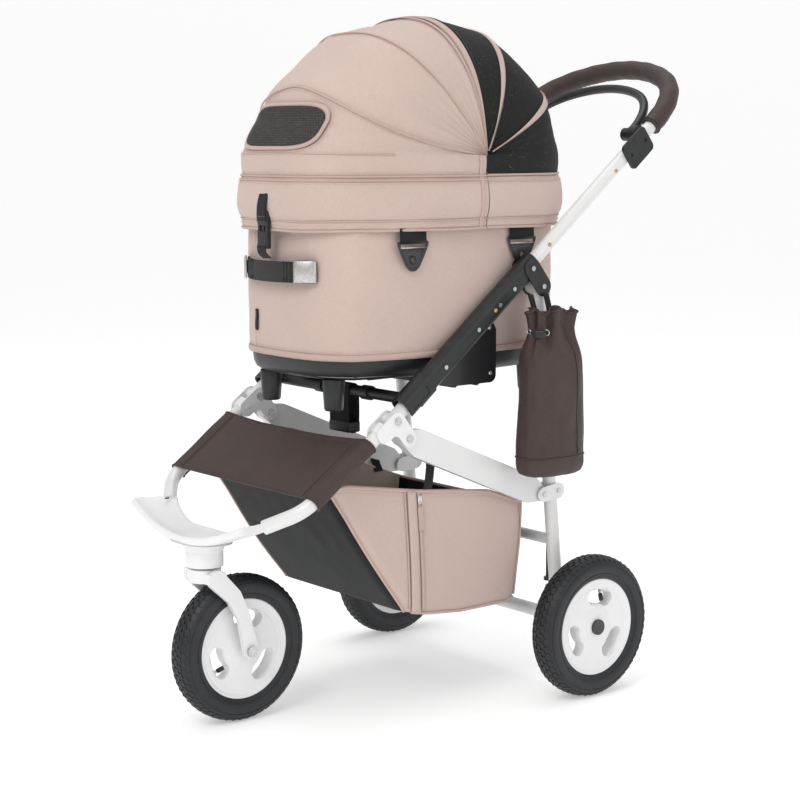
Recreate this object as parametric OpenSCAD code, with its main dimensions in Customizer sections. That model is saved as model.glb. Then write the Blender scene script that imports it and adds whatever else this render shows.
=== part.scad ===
// Three-wheel pet stroller: folding tube frame, lift-off cot with a domed hood, basket and pouch.
// X is across the stroller, +X on its left side; -Y is the front; Z is up; the floor is z = 0.

/* [Wheels] */
// Diameter of each wheel over its tyre
wheel_d = 230; // [190:1:250]
// Width of each tyre
tyre_w = 47; // [38:1:52]
// Diameter of each rim where the tyre seats
rim_d = 157; // [125:1:170]
// Width of each rim between its two faces
rim_w = 34; // [26:1:38]
// Distance between the middles of the two rear tyres
rear_track = 508; // [500:1:620]
// Distance from the front axle back to the rear axle
wheel_base = 513; // [490:1:620]
// Diameter of the rear stub axles
stub_d = 12; // [8:0.5:16]
// Diameter of the front axle bolt
front_axle_d = 10; // [8:0.5:14]

/* [Frame] */
// Outside diameter of the frame tubes
tube_d = 22; // [18:0.5:24]
// Distance between the middles of the left and right tubes
tube_span = 361; // [350:1:400]
// Slope of the upper frame, in degrees
frame_angle = 38.6; // [36:0.2:42]
// Slope of the front frame, in degrees
front_angle = 36; // [33:0.5:39]
// Distance of the fold hinge behind the front axle
hinge_y = 161.3; // [150:1:180]
// Height of the fold hinge
hinge_z = 474.8; // [465:1:520]
// Distance from the fold hinge to the side beam's front pivot
link_len = 36.9; // [35:0.5:42]
// Distance up the slope from the fold hinge to the rear leg's pivot
leg_top_s = 349; // [330:1:370]
// Distance of the rear leg's pivot below the slope line
leg_drop = 37.6; // [35:0.5:45]
// Height of the side beam's rear pivot
beam_rear_z = 326.4; // [290:1:360]
// Distance of the side beam's rear pivot in front of the leg
beam_rear_gap = 25.5; // [24:0.5:32]
// Height of the side beams' flat oval section
beam_h = 44; // [32:1:48]
// Thickness of the side beams
beam_t = 17; // [10:0.5:19]

/* [Handle] */
// Distance up the slope from the fold hinge to the top of the push handle
handle_s = 866; // [820:1:960]
// Radius of the handle's top bow
handle_bow_r = 230; // [200:1:260]
// Radius of the handle's two corner bends
handle_corner_r = 135; // [100:1:150]
// Outside diameter of the leather grip
grip_d = 33; // [28:0.5:38]
// Distance up the slope from the fold hinge to where the grip starts
grip_start_s = 705; // [700:1:715]
// Diameter of the brake bar
brake_bar_d = 15; // [10:0.5:18]
// Gap between the middles of the grip and the brake bar at the top
brake_gap = 53; // [40:1:60]
// Distance between the two screw holes of each accessory plate
accessory_pitch = 40; // [30:1:44]
// Diameter of the accessory plates' screw holes
accessory_hole_d = 6; // [4:0.5:8]

/* [Cot] */
// Width of the cot over its fabric
cot_w = 324; // [290:1:326]
// Length of the cot over its fabric
cot_l = 492; // [470:1:520]
// Corner radius of the cot seen from above
cot_r = 140; // [120:1:150]
// Height of the cot's underside above the floor
cot_z = 530; // [526:1:560]
// Height of the cot's fabric wall
cot_wall_h = 232; // [180:1:260]
// Distance of the cot's middle behind the front axle
cot_y = 328; // [320:1:345]
// Thickness of the cot's padded wall
cot_wall = 5; // [3:0.5:8]
// Width of the webbing tabs on the cot's sides
lug_w = 56; // [30:1:64]
// Diameter of the hole in each of the cot's metal loops
lug_hole_d = 10; // [6:0.5:14]
// Height of the cot's feet
foot_h = 48; // [20:1:52]

/* [Hood] */
// Height of the hood's rib pivots
hood_z = 869.7; // [850:1:900]
// Distance of the hood's rib pivots behind the front axle
hood_y = 354.7; // [345:1:365]
// Width of the hood
hood_w = 350; // [342:1:352]
// Height of the hood's top above its rib pivots
hood_rise = 217; // [190:1:240]
// Reach of the hood in front of its rib pivots
hood_front = 292; // [282:1:310]
// Reach of the hood behind its rib pivots
hood_back = 238; // [232:1:260]
// Thickness of the hood's fabric
hood_t = 3; // [2:0.5:4]

/* [Basket] */
// Width of the basket
basket_w = 324; // [280:1:330]
// Height of the basket's floor
basket_z = 162; // [150:1:200]
// Thickness of the basket's fabric
basket_t = 3; // [2:0.5:5]

/* [Platform] */
// Width of the front platform
platform_w = 300; // [286:1:320]
// Distance of the fork's swivel in front of the front axle
swivel_lead = 60; // [50:1:66]
// Diameter of the swivel's housing
swivel_d = 58; // [46:1:64]
// Diameter of the fork's stem
stem_d = 16; // [12:0.5:20]

/* [Hidden] */
$fn = 48;
RUN = 0.05;          // radial running clearance of a pin or shaft
SLIDE = 0.3;         // clearance of a sliding or passing face
PLATE = 3;           // thickness of pressed metal plates
LUG_T = 2;           // thickness of the plates that hold the rear legs
PIN_R = 4;           // radius of the frame's pivot pins
OPEN_R = 8;          // radius of the open pivot's hole, round a pin of PIN_R
BAND = 0.1;          // how far a weld band stands out of its rod
FACET = 32;          // points round a lofted hood rib

tube_r = tube_d / 2;
side_x = tube_span / 2;
cheek_in = tube_r + SLIDE;
cheek_out = cheek_in + PLATE - 0.4;
wheel_r = wheel_d / 2;
rim_r = rim_d / 2;
wheel_x = rear_track / 2;
cot_round = min(cot_r, cot_w / 2 - 8, cot_l / 2 - 8);   // no corner is wider than the cot
HINGE = [hinge_y, hinge_z];
BEAM_FRONT = HINGE + link_len * [sin(frame_angle), -cos(frame_angle)];
LEG_TOP = HINGE + on_line(frame_angle, leg_top_s, -leg_drop);
AXLE = [wheel_base, wheel_r];
leg_slope = (AXLE[0] - LEG_TOP[0]) / (LEG_TOP[1] - AXLE[1]);
BEAM_REAR = [LEG_TOP[0] + leg_slope * (LEG_TOP[1] - beam_rear_z) - beam_rear_gap, beam_rear_z];
leg_lean = atan(leg_slope);
back_y = hinge_y + handle_s * cos(frame_angle) + grip_d / 2;
mid_y = (back_y - wheel_r) / 2;

sleeve_w = 28;       // section of the black frame sleeves
sleeve_h = 37;
sleeve_from = 60;
sleeve_to = 365;
collar_from = 24;    // lock collars, measured up the slope from the fold hinge
collar_to = 86;
collar_wall = 2.4;
socket_to = 38;      // front bracket's socket, measured down the slope
panel_from = 54;     // footrest panel, measured down the slope
panel_to = 188;
front_bend_from = 175;
front_bend_r = 60;
front_bend_angle = 48;
front_tail = 42;
tray_t = 24;
tray_tilt = 22;
tray_z = hinge_z - (hinge_y + swivel_lead) * tan(front_angle) + 5;
tray_deep = 46;
tray_back = 30;
fork_gap = 5;
arm_t = 8;
crown_top = tray_z - 70;
housing_foot = crown_top + 4;
hub_half = tyre_w / 2 + 0.5;
hub_out = rim_w / 2 + 0.5;
cap_t = 4.5;
plate_x = side_x + cheek_out;
plate_z = cot_z - 16;   // bottom of the side plates
cradle_z = cot_z - 10;
bar_pivot_s = grip_start_s - 20;
bar_half = side_x - tube_r - 22.5;
cross_z = 245;
lug_strap_t = 1.8;
band_h = 108;        // depth of the hood's skirt below the rib pivots
rib_r = 2;
rib_end = 0.4;       // angle at which a hood rib starts beside its pivot
pouch_z = 370;
pouch_h = 260;

// Point at distance s along a line of the given slope and n square to it.
function on_line(angle, s, n) = [s * cos(angle) - n * sin(angle), s * sin(angle) + n * cos(angle)];

// Puts the whole stroller's origin under the middle of its box.
module place() translate([0, -mid_y, 0]) children();

// Frames whose Y runs up the slope from the fold hinge.
module slope() translate([0, hinge_y, hinge_z]) rotate([frame_angle, 0, 0]) children();
module front_slope() translate([0, hinge_y, hinge_z]) rotate([front_angle, 0, 0]) children();

// Extrudes a side outline, drawn with X as the stroller's Y, from x = x0 over a thickness.
module side_extrude(x0, t) translate([x0, 0, 0]) rotate([90, 0, 90]) linear_extrude(t) children();

// A pair of plates either side of a side member.
module cheeks(x, inner, outer) {
    side_extrude(x + inner, outer - inner) children();
    side_extrude(x - outer, outer - inner) children();
}

// Flat link: two circles and their common tangents.
module link(p, rp, q, rq) {
    d = norm(q - p);
    a = atan2(q[1] - p[1], q[0] - p[0]);
    b = acos((rp - rq) / d);
    translate(p) circle(rp);
    translate(q) circle(rq);
    polygon([p + rp * [cos(a + b), sin(a + b)], p + rp * [cos(a - b), sin(a - b)],
        q + rq * [cos(a - b), sin(a - b)], q + rq * [cos(a + b), sin(a + b)]]);
}

module stadium(w, h) {
    r = w / 2;
    translate([0, h / 2 - r]) circle(r);
    translate([0, r - h / 2]) circle(r);
    square([w, h - w], center = true);
}

module rounded(w, l, r) {
    square([w - 2 * r, l], center = true);
    square([w, l - 2 * r], center = true);
    for (x = [-1, 1], y = [-1, 1]) translate([x * (w / 2 - r), y * (l / 2 - r)]) circle(r);
}

module ring(ro, ri) difference() {
    circle(ro);
    circle(ri);
}

// Cylinder along X, centred on x.
module x_rod(x, y, z, r, w) translate([x - w / 2, y, z]) rotate([0, 90, 0]) cylinder(h = w, r = r);

// Cylinder along the slope frame's Y.
module s_rod(x, s0, s1, r) translate([x, s0, 0]) rotate([-90, 0, 0]) cylinder(h = s1 - s0, r = r);

// Short band round a joint between two lengths of bent rod, so that they weld.
module band(p, turn, r) translate([p[0], p[1], 0]) rotate([0, 0, turn]) rotate([90, 0, 0])
    cylinder(h = 3, r = r + BAND, center = true);

// Bent rod in a slope frame's plane: straight sides from s0, two corner bends and a flatter top.
module bow(half, top, r_top, r_corner, s0, r) {
    cx = half - r_corner;
    drop = sqrt(pow(r_top - r_corner, 2) - cx * cx);
    sc = top - r_top + drop;
    turn = atan2(drop, cx);
    for (side = [0, 1]) mirror([side, 0, 0]) {
        s_rod(half, s0, sc, r);
        band([half, sc], 0, r);
        translate([cx, sc, 0]) rotate_extrude(angle = turn) translate([r_corner, 0]) circle(r);
        band([cx + r_corner * cos(turn), sc + r_corner * sin(turn)], turn, r);
    }
    translate([0, top - r_top, 0]) rotate([0, 0, turn]) rotate_extrude(angle = 180 - 2 * turn)
        translate([r_top, 0]) circle(r);
}

// ---- upper frame ----
module upper_tube() color("gainsboro") difference() {
    union() {
        slope() bow(side_x, handle_s, handle_bow_r, handle_corner_r, 0, tube_r);
        for (x = [-side_x, side_x]) x_rod(x, hinge_y, hinge_z, tube_r, tube_d);
    }
    for (x = [-side_x, side_x]) x_rod(x, hinge_y, hinge_z, PIN_R + RUN, tube_d + 2);
}

module handle_grip() color("saddlebrown") slope() difference() {
    bow(side_x, handle_s, handle_bow_r, handle_corner_r, grip_start_s, grip_d / 2);
    bow(side_x, handle_s, handle_bow_r, handle_corner_r, grip_start_s - 9, tube_r);
}

module sleeve(x) color("dimgray") slope() translate([x, sleeve_from, 0]) rotate([-90, 0, 0])
    linear_extrude(sleeve_to - sleeve_from) difference() {
        stadium(sleeve_w, sleeve_h);
        circle(tube_r);
    }

// Gusset on the inner side of a sleeve that carries the cot's cradle.
module side_plate(side) {
    top = on_line(frame_angle, 248, -sleeve_h / 2 + 4);
    low = on_line(frame_angle, 95, -sleeve_h / 2 + 4);
    color("dimgray") side_extrude(side > 0 ? side_x - sleeve_w / 2 - SLIDE - PLATE
            : -side_x + sleeve_w / 2 + SLIDE, PLATE)
        translate(HINGE) polygon(concat([low, top, [top[0] + 14, top[1] - 10], [top[0] + 20, top[1] - 20]],
            [for (a = [0:15:90]) [top[0] + 8 + 12 * cos(a), plate_z - hinge_z + 12 - 12 * sin(a)]],
            [[low[0] + 48, plate_z - hinge_z]]));
}

module leg_lug(x) color("dimgray") cheeks(x, sleeve_w / 2, sleeve_w / 2 + LUG_T)
    link(HINGE + on_line(frame_angle, leg_top_s, 0), 16, LEG_TOP, 16);

module leg(x) color("gainsboro") difference() {
    union() {
        leg_len = norm(LEG_TOP - AXLE);
        translate([x, AXLE[0], AXLE[1]]) rotate([leg_lean, 0, 0]) cylinder(h = leg_len, r = tube_r);
        x_rod(x, LEG_TOP[0], LEG_TOP[1], tube_r + 2, sleeve_w);
        x_rod(x, AXLE[0], AXLE[1], tube_r + 5, 34);
    }
    x_rod(x, AXLE[0], AXLE[1], tube_r, 40);
}

module rear_bracket(x) {
    behind = [BEAM_REAR[0] + beam_rear_gap + 6, BEAM_REAR[1] + 3];
    color("white") cheeks(x, cheek_in, cheek_in + PLATE) link(BEAM_REAR, 12, behind, 13);
    color("white") x_rod(x, BEAM_REAR[0], BEAM_REAR[1], PIN_R, 2 * cheek_in + 1);
}

module rear_cross_tube() {
    y = AXLE[0] - leg_slope * (cross_z - AXLE[1]);
    color("gainsboro") difference() {
        x_rod(0, y, cross_z, tube_r - 2, tube_span);
        for (x = [-side_x, side_x]) translate([x, AXLE[0], AXLE[1]]) rotate([leg_lean, 0, 0])
            cylinder(h = 300, r = tube_r);
    }
}

module rear_axle() color("gainsboro") {
    inner = wheel_x - hub_half - 3;
    x_rod(0, AXLE[0], AXLE[1], tube_r, 2 * inner);
    x_rod(0, AXLE[0], AXLE[1], stub_d / 2, 2 * (wheel_x + rim_w / 2 - 1));
}

// Two cross tubes and their end plates, under the cot between the side plates.
module cot_cradle() color("dimgray") {
    w = 2 * (side_x - sleeve_w / 2 - SLIDE - PLATE);
    for (y = [cot_y - 28, cot_y + 18]) x_rod(0, y, cradle_z, 9, w);
    for (x = [-w / 4, w / 4]) translate([x - 12, cot_y - 28, cradle_z - 4]) cube([24, 46, 8]);
}

module accessory_plate(x) {
    s = (grip_start_s + 595) / 2;
    color("dimgray") side_extrude(x > 0 ? plate_x - 2 : -plate_x - 2, 4) translate(HINGE)
        rotate(frame_angle) translate([s, 0]) difference() {
            rounded(accessory_pitch + 22, 46, 8);
            for (d = [-1, 1]) translate([d * accessory_pitch / 2, 0]) circle(accessory_hole_d / 2);
        }
    color("dimgray") slope() difference() {
        translate([x > 0 ? x : -plate_x + 1.5, s - 8, -6]) cube([plate_x - side_x - 1.5, 16, 12]);
        s_rod(x, s - 20, s + 20, tube_r);
    }
}

// Pivot block of the brake bar on the inner side of each handle tube.
module brake_housing(side) color("dimgray") slope() difference() {
    translate([side * (side_x - tube_r - 6), bar_pivot_s, 0]) rotate([0, 90, 0])
        cylinder(h = 15, r = 15, center = true);
    s_rod(side * side_x, bar_pivot_s - 30, bar_pivot_s + 30, tube_r);
    translate([side * (side_x - tube_r - 6), bar_pivot_s, 0]) rotate([0, 90, 0])
        cylinder(h = 40, r = PIN_R + RUN, center = true);
}

module rivet(p, x, r) side_extrude(x > 0 ? x : x - 2, 2) translate(p) circle(r);

module frame_rivets() {
    out = side_x + sleeve_w / 2;
    color("silver") for (side = [-1, 1]) {
        for (s = [120, 205, 262, 300]) rivet(HINGE + on_line(frame_angle, s, 0), side * out, 3.5);
        for (n = [0, -leg_drop])
            rivet(HINGE + on_line(frame_angle, leg_top_s, n), side * (out + LUG_T), 4);
        rivet(BEAM_REAR, side * (side_x + cheek_in + PLATE), 4);
        rivet(BEAM_REAR + [beam_rear_gap + 6, 3], side * (side_x + cheek_in + PLATE), 4);
    }
}

module brake_bar() color("dimgray") slope() {
    bow(bar_half, handle_s - brake_gap, 200, 110, bar_pivot_s, brake_bar_d / 2);
    for (side = [-1, 1]) translate([side * bar_half, bar_pivot_s, 0]) rotate([0, 90, 0])
        cylinder(h = brake_bar_d + 3, r = brake_bar_d / 2 + 3.5, center = true);
    for (side = [-1, 1]) translate([side * (side_x - tube_r - 12), bar_pivot_s, 0])
        rotate([0, 90, 0]) cylinder(h = 22, r = PIN_R, center = true);
}

// Brake rods behind the rear legs, with a hook over each return spring.
rod_x = side_x - 26;
rod_y = AXLE[0];
rod_low = AXLE[1] + 62;
module brake_rods() color("black") for (x = [-rod_x, rod_x]) {
    translate([x, rod_y, rod_low]) cylinder(h = beam_rear_z - rod_low, r = 2.5);
    translate([x, rod_y, rod_low - 6]) cylinder(h = 6, r = 6);
}

module brake_springs() color("silver") for (x = [-rod_x, rod_x])
    translate([x, rod_y, AXLE[1] + tube_r + 2]) difference() {
        cylinder(h = rod_low - 6 - SLIDE - AXLE[1] - tube_r - 2, r = 7);
        translate([0, 0, -1]) cylinder(h = 80, r = 4);
    }

// ---- fold release: two lock collars on a cross bar with a pull strap ----
module lock_collar(x) color("dimgray") slope() difference() {
    translate([x, collar_from, 0]) rotate([-90, 0, 0]) linear_extrude(collar_to - collar_from)
        difference() {
            stadium(sleeve_w + 2 * (SLIDE + collar_wall), sleeve_h + 2 * (SLIDE + collar_wall));
            stadium(sleeve_w + 2 * SLIDE, sleeve_h + 2 * SLIDE);
        }
    translate([x - sleeve_w / 2 - SLIDE, collar_from - 1, -40]) cube([sleeve_w + 2 * SLIDE, 29, 32]);
    for (d = [-1, 1]) translate([x + d * (sleeve_w / 2 + SLIDE + collar_wall) - 1, collar_from + 9, -7])
        cube([2, 40, 14]);
}

module release_bar() color("black") slope() for (side = [-1, 1]) {
    w = side_x - sleeve_w / 2 - SLIDE - collar_wall;
    translate([0, 54, -10]) rotate([0, 90, 0]) cylinder(h = 2 * w, r = 9, center = true);
    translate([side * 60, 54, -10]) rotate([0, 90, 0]) cylinder(h = 18, r = 11.5, center = true);
}

module pull_strap() {
    p = HINGE + on_line(frame_angle, 54, -10);
    color("black") side_extrude(-28, 56) difference() {
        union() {
            translate(p) circle(12);
            translate(p + [-12, -58]) square([24, 58]);
            translate(p + [0, -58]) circle(12);
        }
        translate(p) circle(9);
        translate(p + [-9, -58]) square([18, 48]);
    }
}

// ---- front frame ----
module front_path(r) front_slope() for (side = [0, 1]) mirror([side, 0, 0]) {
    cx = side_x - front_bend_r;
    end = [cx + front_bend_r * cos(front_bend_angle), -front_bend_from - front_bend_r * sin(front_bend_angle)];
    s_rod(side_x, -front_bend_from, -20, r);
    band([side_x, -front_bend_from], 0, r);
    translate([cx, -front_bend_from, 0]) rotate([0, 0, -front_bend_angle])
        rotate_extrude(angle = front_bend_angle) translate([front_bend_r, 0]) circle(r);
    band(end, -front_bend_angle, r);
    translate([end[0], end[1], 0]) rotate([0, 0, -front_bend_angle]) rotate([90, 0, 0])
        cylinder(h = front_tail, r = r);
}

module front_tube() color("gainsboro") front_path(tube_r);

module front_bracket(x) {
    low = HINGE + on_line(front_angle, -30, 0);
    color("white") difference() {
        union() {
            cheeks(x, cheek_in, cheek_out) {
                link(HINGE, 14, BEAM_FRONT, 13);
                link(HINGE, 14, low, 14);
                polygon([HINGE, low, BEAM_FRONT]);
            }
            front_slope() s_rod(x, -socket_to, -20, cheek_out + 0.4);
        }
        front_slope() s_rod(x, -socket_to - 1, -10, tube_r);
        for (p = [HINGE, BEAM_FRONT]) x_rod(x, p[0], p[1], PIN_R, 40);
    }
}

// Pins of the fold hinge and of the side beams' front pivots, with their heads.
module hinge_pins() color("silver") for (x = [-side_x, side_x], p = [HINGE, BEAM_FRONT]) {
    x_rod(x, p[0], p[1], PIN_R, 2 * cheek_out);
    for (d = [-1, 1]) x_rod(x + d * (cheek_out + 1), p[0], p[1], 6, 2);
}

module in_tray() translate([0, -swivel_lead, tray_z]) rotate([tray_tilt, 0, 0]) children();

module platform_tray() color("white") difference() {
    in_tray() translate([0, 0, -tray_t / 2]) linear_extrude(tray_t) difference() {
        translate([0, (tray_back - tray_deep) / 2]) rounded(platform_w, tray_back + tray_deep, 36);
        translate([0, 227]) circle(225, $fn = 96);
    }
    front_path(tube_r);
}

// Swivel housing: flares up under the tray and is bored for the fork's stem.
module swivel_housing() color("white") difference() {
    translate([0, -swivel_lead, housing_foot]) {
        cylinder(h = 26, r = swivel_d / 2);
        translate([0, 0, 20]) cylinder(h = 50, r1 = swivel_d / 2 - 2, r2 = swivel_d / 2 + 26);
    }
    in_tray() translate([-200, -200, -tray_t / 2]) cube([400, 400, 200]);
    in_tray() translate([-200, 6, -100]) cube([400, 200, 200]);
    translate([0, -swivel_lead, housing_foot - 1]) cylinder(h = 39, r = stem_d / 2 + RUN);
}

module footrest_panel() color("saddlebrown") front_slope() {
    for (x = [-side_x, side_x]) translate([x, 4 - front_bend_from, 0]) rotate([-90, 0, 0])
        linear_extrude(front_bend_from - 4 - panel_from) ring(tube_r + 2.5, tube_r);
    translate([-side_x, -panel_to, tube_r]) cube([tube_span, panel_to - panel_from, 2.5]);
}

// ---- side beams ----
// Flat oval bar, tapered to a round eye at each pivot.
module side_beam(x) {
    u = (BEAM_REAR - BEAM_FRONT) / norm(BEAM_REAR - BEAM_FRONT);
    up = [-u[1], u[0]] * beam_h / 2;
    a = BEAM_FRONT + 24 * u;
    b = BEAM_REAR - 24 * u;
    color("gainsboro") difference() {
        side_extrude(x - beam_t / 2, beam_t) {
            translate(BEAM_FRONT) circle(13.8);
            translate(BEAM_REAR) circle(12);
            polygon([BEAM_FRONT - 4 * u + 0.57 * up, a + up, b + up, BEAM_REAR + 4 * u + 0.48 * up,
                BEAM_REAR + 4 * u - 0.48 * up, b - up, a - up, BEAM_FRONT - 4 * u - 0.57 * up]);
        }
        x_rod(x, BEAM_FRONT[0], BEAM_FRONT[1], OPEN_R, 30);
        x_rod(x, BEAM_REAR[0], BEAM_REAR[1], PIN_R + RUN, 30);
    }
}

// ---- fork and front wheel ----
module fork() {
    arm_in = tyre_w / 2 + fork_gap;
    crown = crown_top - 20;
    points = [[-swivel_lead, crown + 6, 15], [-swivel_lead + 30, crown - 24, 13],
        [-12, wheel_r + 55, 10.5], [0, wheel_r, 13]];
    color("white") difference() {
        union() {
            translate([0, -swivel_lead, crown]) cylinder(h = 20, r = swivel_d / 2 - 4);
            translate([-arm_in - arm_t, -swivel_lead - 14, crown]) cube([2 * (arm_in + arm_t), 30, 16]);
            translate([0, -swivel_lead, crown]) cylinder(h = 54, r = stem_d / 2);
            cheeks(0, arm_in, arm_in + arm_t) for (i = [0:len(points) - 2])
                link([points[i][0], points[i][1]], points[i][2],
                    [points[i + 1][0], points[i + 1][1]], points[i + 1][2]);
        }
        x_rod(0, 0, wheel_r, front_axle_d / 2, 120);
    }
}

module front_axle() color("silver") {
    w = tyre_w + 2 * (fork_gap + arm_t);
    x_rod(0, 0, wheel_r, front_axle_d / 2, w);
    for (d = [-1, 1]) x_rod(d * (w / 2 + 2.5), 0, wheel_r, front_axle_d / 2 + 4, 5);
}

// Tyre section: a round crown on straight sides down to the rim.
function tyre_side(a) = tyre_w / 2 * sign(cos(a)) * pow(abs(cos(a)), 0.75);
function tyre_out(a) = rim_r + (wheel_r - rim_r) * (0.45 + 0.55 * pow(abs(sin(a)), 0.85));
module wheel_tyre(x, y) color("black") translate([x, y, wheel_r]) rotate([0, 90, 0])
    rotate_extrude($fn = 96) rotate(-90) polygon(concat(
        [[-rim_w / 2 + 1, rim_r]],
        [for (a = [180:-12:0]) [tyre_side(a), tyre_out(a)]],
        [[rim_w / 2 - 1, rim_r]]));

// Rim with three broad spokes between rounded windows, its hub running from h0 to h1.
module wheel_rim(x, y, bore, h0, h1) color("white") translate([x, y, wheel_r]) rotate([0, 90, 0])
    difference() {
        union() {
            cylinder(h = rim_w, r = rim_r, center = true, $fn = 96);
            translate([0, 0, h0]) cylinder(h = h1 - h0, r = 21);
        }
        for (d = [-1, 1]) translate([0, 0, d * rim_w / 2]) rotate([0, 90 - d * 90, 0])
            translate([0, 0, -9]) difference() {
                cylinder(h = 10, r = rim_r - 6, $fn = 96);
                translate([0, 0, -1]) cylinder(h = 12, r = 24);
            }
        for (i = [0:2]) rotate(i * 120 + 50) linear_extrude(rim_w + 2, center = true) {
            r_in = 34;
            r_out = rim_r - 15;
            intersection() {
                difference() {
                    circle(r_out);
                    circle(r_in);
                }
                polygon([[0, 0], 2 * r_out * [cos(28), -sin(28)], 2 * r_out * [cos(28), sin(28)]]);
            }
        }
        cylinder(h = 80, r = bore / 2 + RUN, center = true);
    }

module wheel_cap(side) color("dimgray")
    x_rod(side * (wheel_x + hub_out + cap_t / 2), wheel_base, wheel_r, 12.5, cap_t);

// ---- cot ----
module in_cot(z) translate([0, cot_y, z]) children();

module cot_tray() color("dimgray") in_cot(cot_z) difference() {
    linear_extrude(28) rounded(cot_w - 2 * cot_wall - 1, cot_l - 2 * cot_wall - 1, cot_round - cot_wall);
    translate([0, 0, 5]) linear_extrude(30) rounded(cot_w - 2 * cot_wall - 9, cot_l - 2 * cot_wall - 9,
        cot_round - cot_wall - 4);
}

module cot_feet() color("black") for (x = [-82, 82], y = [-1, 1])
    translate([x, cot_y + y * (cot_l / 2 - 44), cot_z - foot_h]) cylinder(h = foot_h, r1 = 13, r2 = 17);

module cot_shell() color("rosybrown") in_cot(cot_z + 28) difference() {
    translate([0, 0, -10]) linear_extrude(cot_wall_h + 10) rounded(cot_w, cot_l, cot_round);
    translate([0, 0, -20]) linear_extrude(cot_wall_h + 40)
        rounded(cot_w - 2 * cot_wall, cot_l - 2 * cot_wall, cot_round - cot_wall);
}

module cot_mat() color("tan") in_cot(cot_z + 5.2) linear_extrude(22)
    rounded(cot_w - 2 * cot_wall - 12, cot_l - 2 * cot_wall - 12, cot_round - cot_wall - 6);

// Bowed webbing handle across the cot's front.
handle_z = cot_z + 150;
module grab_handle() color("dimgray") translate([0, cot_y - cot_l / 2, handle_z]) linear_extrude(32) {
    difference() {
        translate([0, 150]) circle(178, $fn = 96);
        translate([0, 150]) circle(174, $fn = 96);
        translate([-200, 0]) square([400, 400]);
    }
    for (x = [-1, 1]) translate([x * 88 - 8, -4]) square([16, 4]);
}

// Webbing tabs and triangular lugs that hang from the cot's sides.
module strap_lugs() color("black") for (side = [-1, 1], y = [-112, 112])
    side_extrude(side > 0 ? cot_w / 2 : -cot_w / 2 - lug_strap_t, lug_strap_t)
        translate([cot_y + y, cot_z + 182]) difference() {
            union() {
                translate([-lug_w / 2, 26]) square([lug_w, 22]);
                polygon([[-lug_w / 2 - 2, 28], [lug_w / 2 + 2, 28], [11, -7], [-11, -7]]);
                circle(13);
            }
            circle(lug_hole_d / 2);
        }

// ---- hood ----
// Share of the hood's extra reach, over its height, at angles up from the front or the back.
front_share = [[0, 1], [12, 0.64], [24, 0.54], [36, 0.36], [53, 0.2], [72, 0], [90, 0]];
back_share = [[0, 1], [10, 0.75], [25, 0.64], [40, 0.38], [55, 0.14], [72, 0], [90, 0]];
function hood_reach(a) = hood_rise + (a < 90 ? (hood_front - hood_rise) * lookup(a, front_share)
    : (hood_back - hood_rise) * lookup(180 - a, back_share));
function power(v, e) = sign(v) * pow(abs(v), e);
// A rib is a superellipse, squarer where it meets the cot.
function rib_curve(a, t, inset) = let (e = 0.86 - 0.16 * pow(cos(a), 2))
    [(hood_w / 2 - inset) * power(cos(t), e), (hood_reach(a) - inset) * power(sin(t), e)];
function rib_row(a, inset) = [for (j = [0:FACET])
    rib_curve(a, rib_end + j * (180 - 2 * rib_end) / FACET, inset)];

// Shell between two rib angles, lofted along its ribs.
module hood_shell(a0, a1, step) {
    ribs = round((a1 - a0) / step);
    across = FACET + 1;
    layer = (ribs + 1) * across;
    at = function (i, j, k) k * layer + i * across + j;
    points = [for (k = [0, 1], i = [0:ribs]) let (a = a0 + i * (a1 - a0) / ribs)
        for (p = rib_row(a, k * hood_t)) [p[0], -p[1] * cos(a), p[1] * sin(a)]];
    outer = [for (i = [0:ribs - 1], j = [0:FACET - 1])
        [at(i, j, 0), at(i, j + 1, 0), at(i + 1, j + 1, 0), at(i + 1, j, 0)]];
    inner = [for (i = [0:ribs - 1], j = [0:FACET - 1])
        [at(i, j, 1), at(i + 1, j, 1), at(i + 1, j + 1, 1), at(i, j + 1, 1)]];
    rims = [for (j = [0:FACET - 1]) each [
        [at(0, j, 0), at(0, j, 1), at(0, j + 1, 1), at(0, j + 1, 0)],
        [at(ribs, j, 0), at(ribs, j + 1, 0), at(ribs, j + 1, 1), at(ribs, j, 1)]]];
    sides = [for (i = [0:ribs - 1]) each [
        [at(i, 0, 0), at(i + 1, 0, 0), at(i + 1, 0, 1), at(i, 0, 1)],
        [at(i, FACET, 0), at(i, FACET, 1), at(i + 1, FACET, 1), at(i + 1, FACET, 0)]]];
    translate([0, hood_y, hood_z]) polyhedron(points, concat(outer, inner, rims, sides));
}

// Upright skirt below one half of the hood, round the outside of the cot.
module hood_band(a, way) {
    outer = rib_row(a, 0);
    inner = rib_row(a, hood_t);
    translate([0, hood_y, hood_z - band_h]) linear_extrude(band_h + 0.4)
        polygon([for (p = outer) [p[0], way * p[1]],
            for (j = [FACET:-1:0]) [inner[j][0], way * inner[j][1]]]);
}

// Steel bow under the fabric at one rib angle, with an eye at each pivot.
module hood_rib(a, half) {
    reach = hood_reach(a) - hood_t - 4;
    translate([0, hood_y, hood_z]) rotate([180 - a, 0, 0]) difference() {
        union() {
            bow(half, reach, 165, 110, 5, rib_r);
            for (x = [-half, half]) x_rod(x, 0, 0, 7, 2 * rib_r + 1);
        }
        x_rod(0, 0, 0, rib_pin_r + RUN, hood_w);
    }
}

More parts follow.
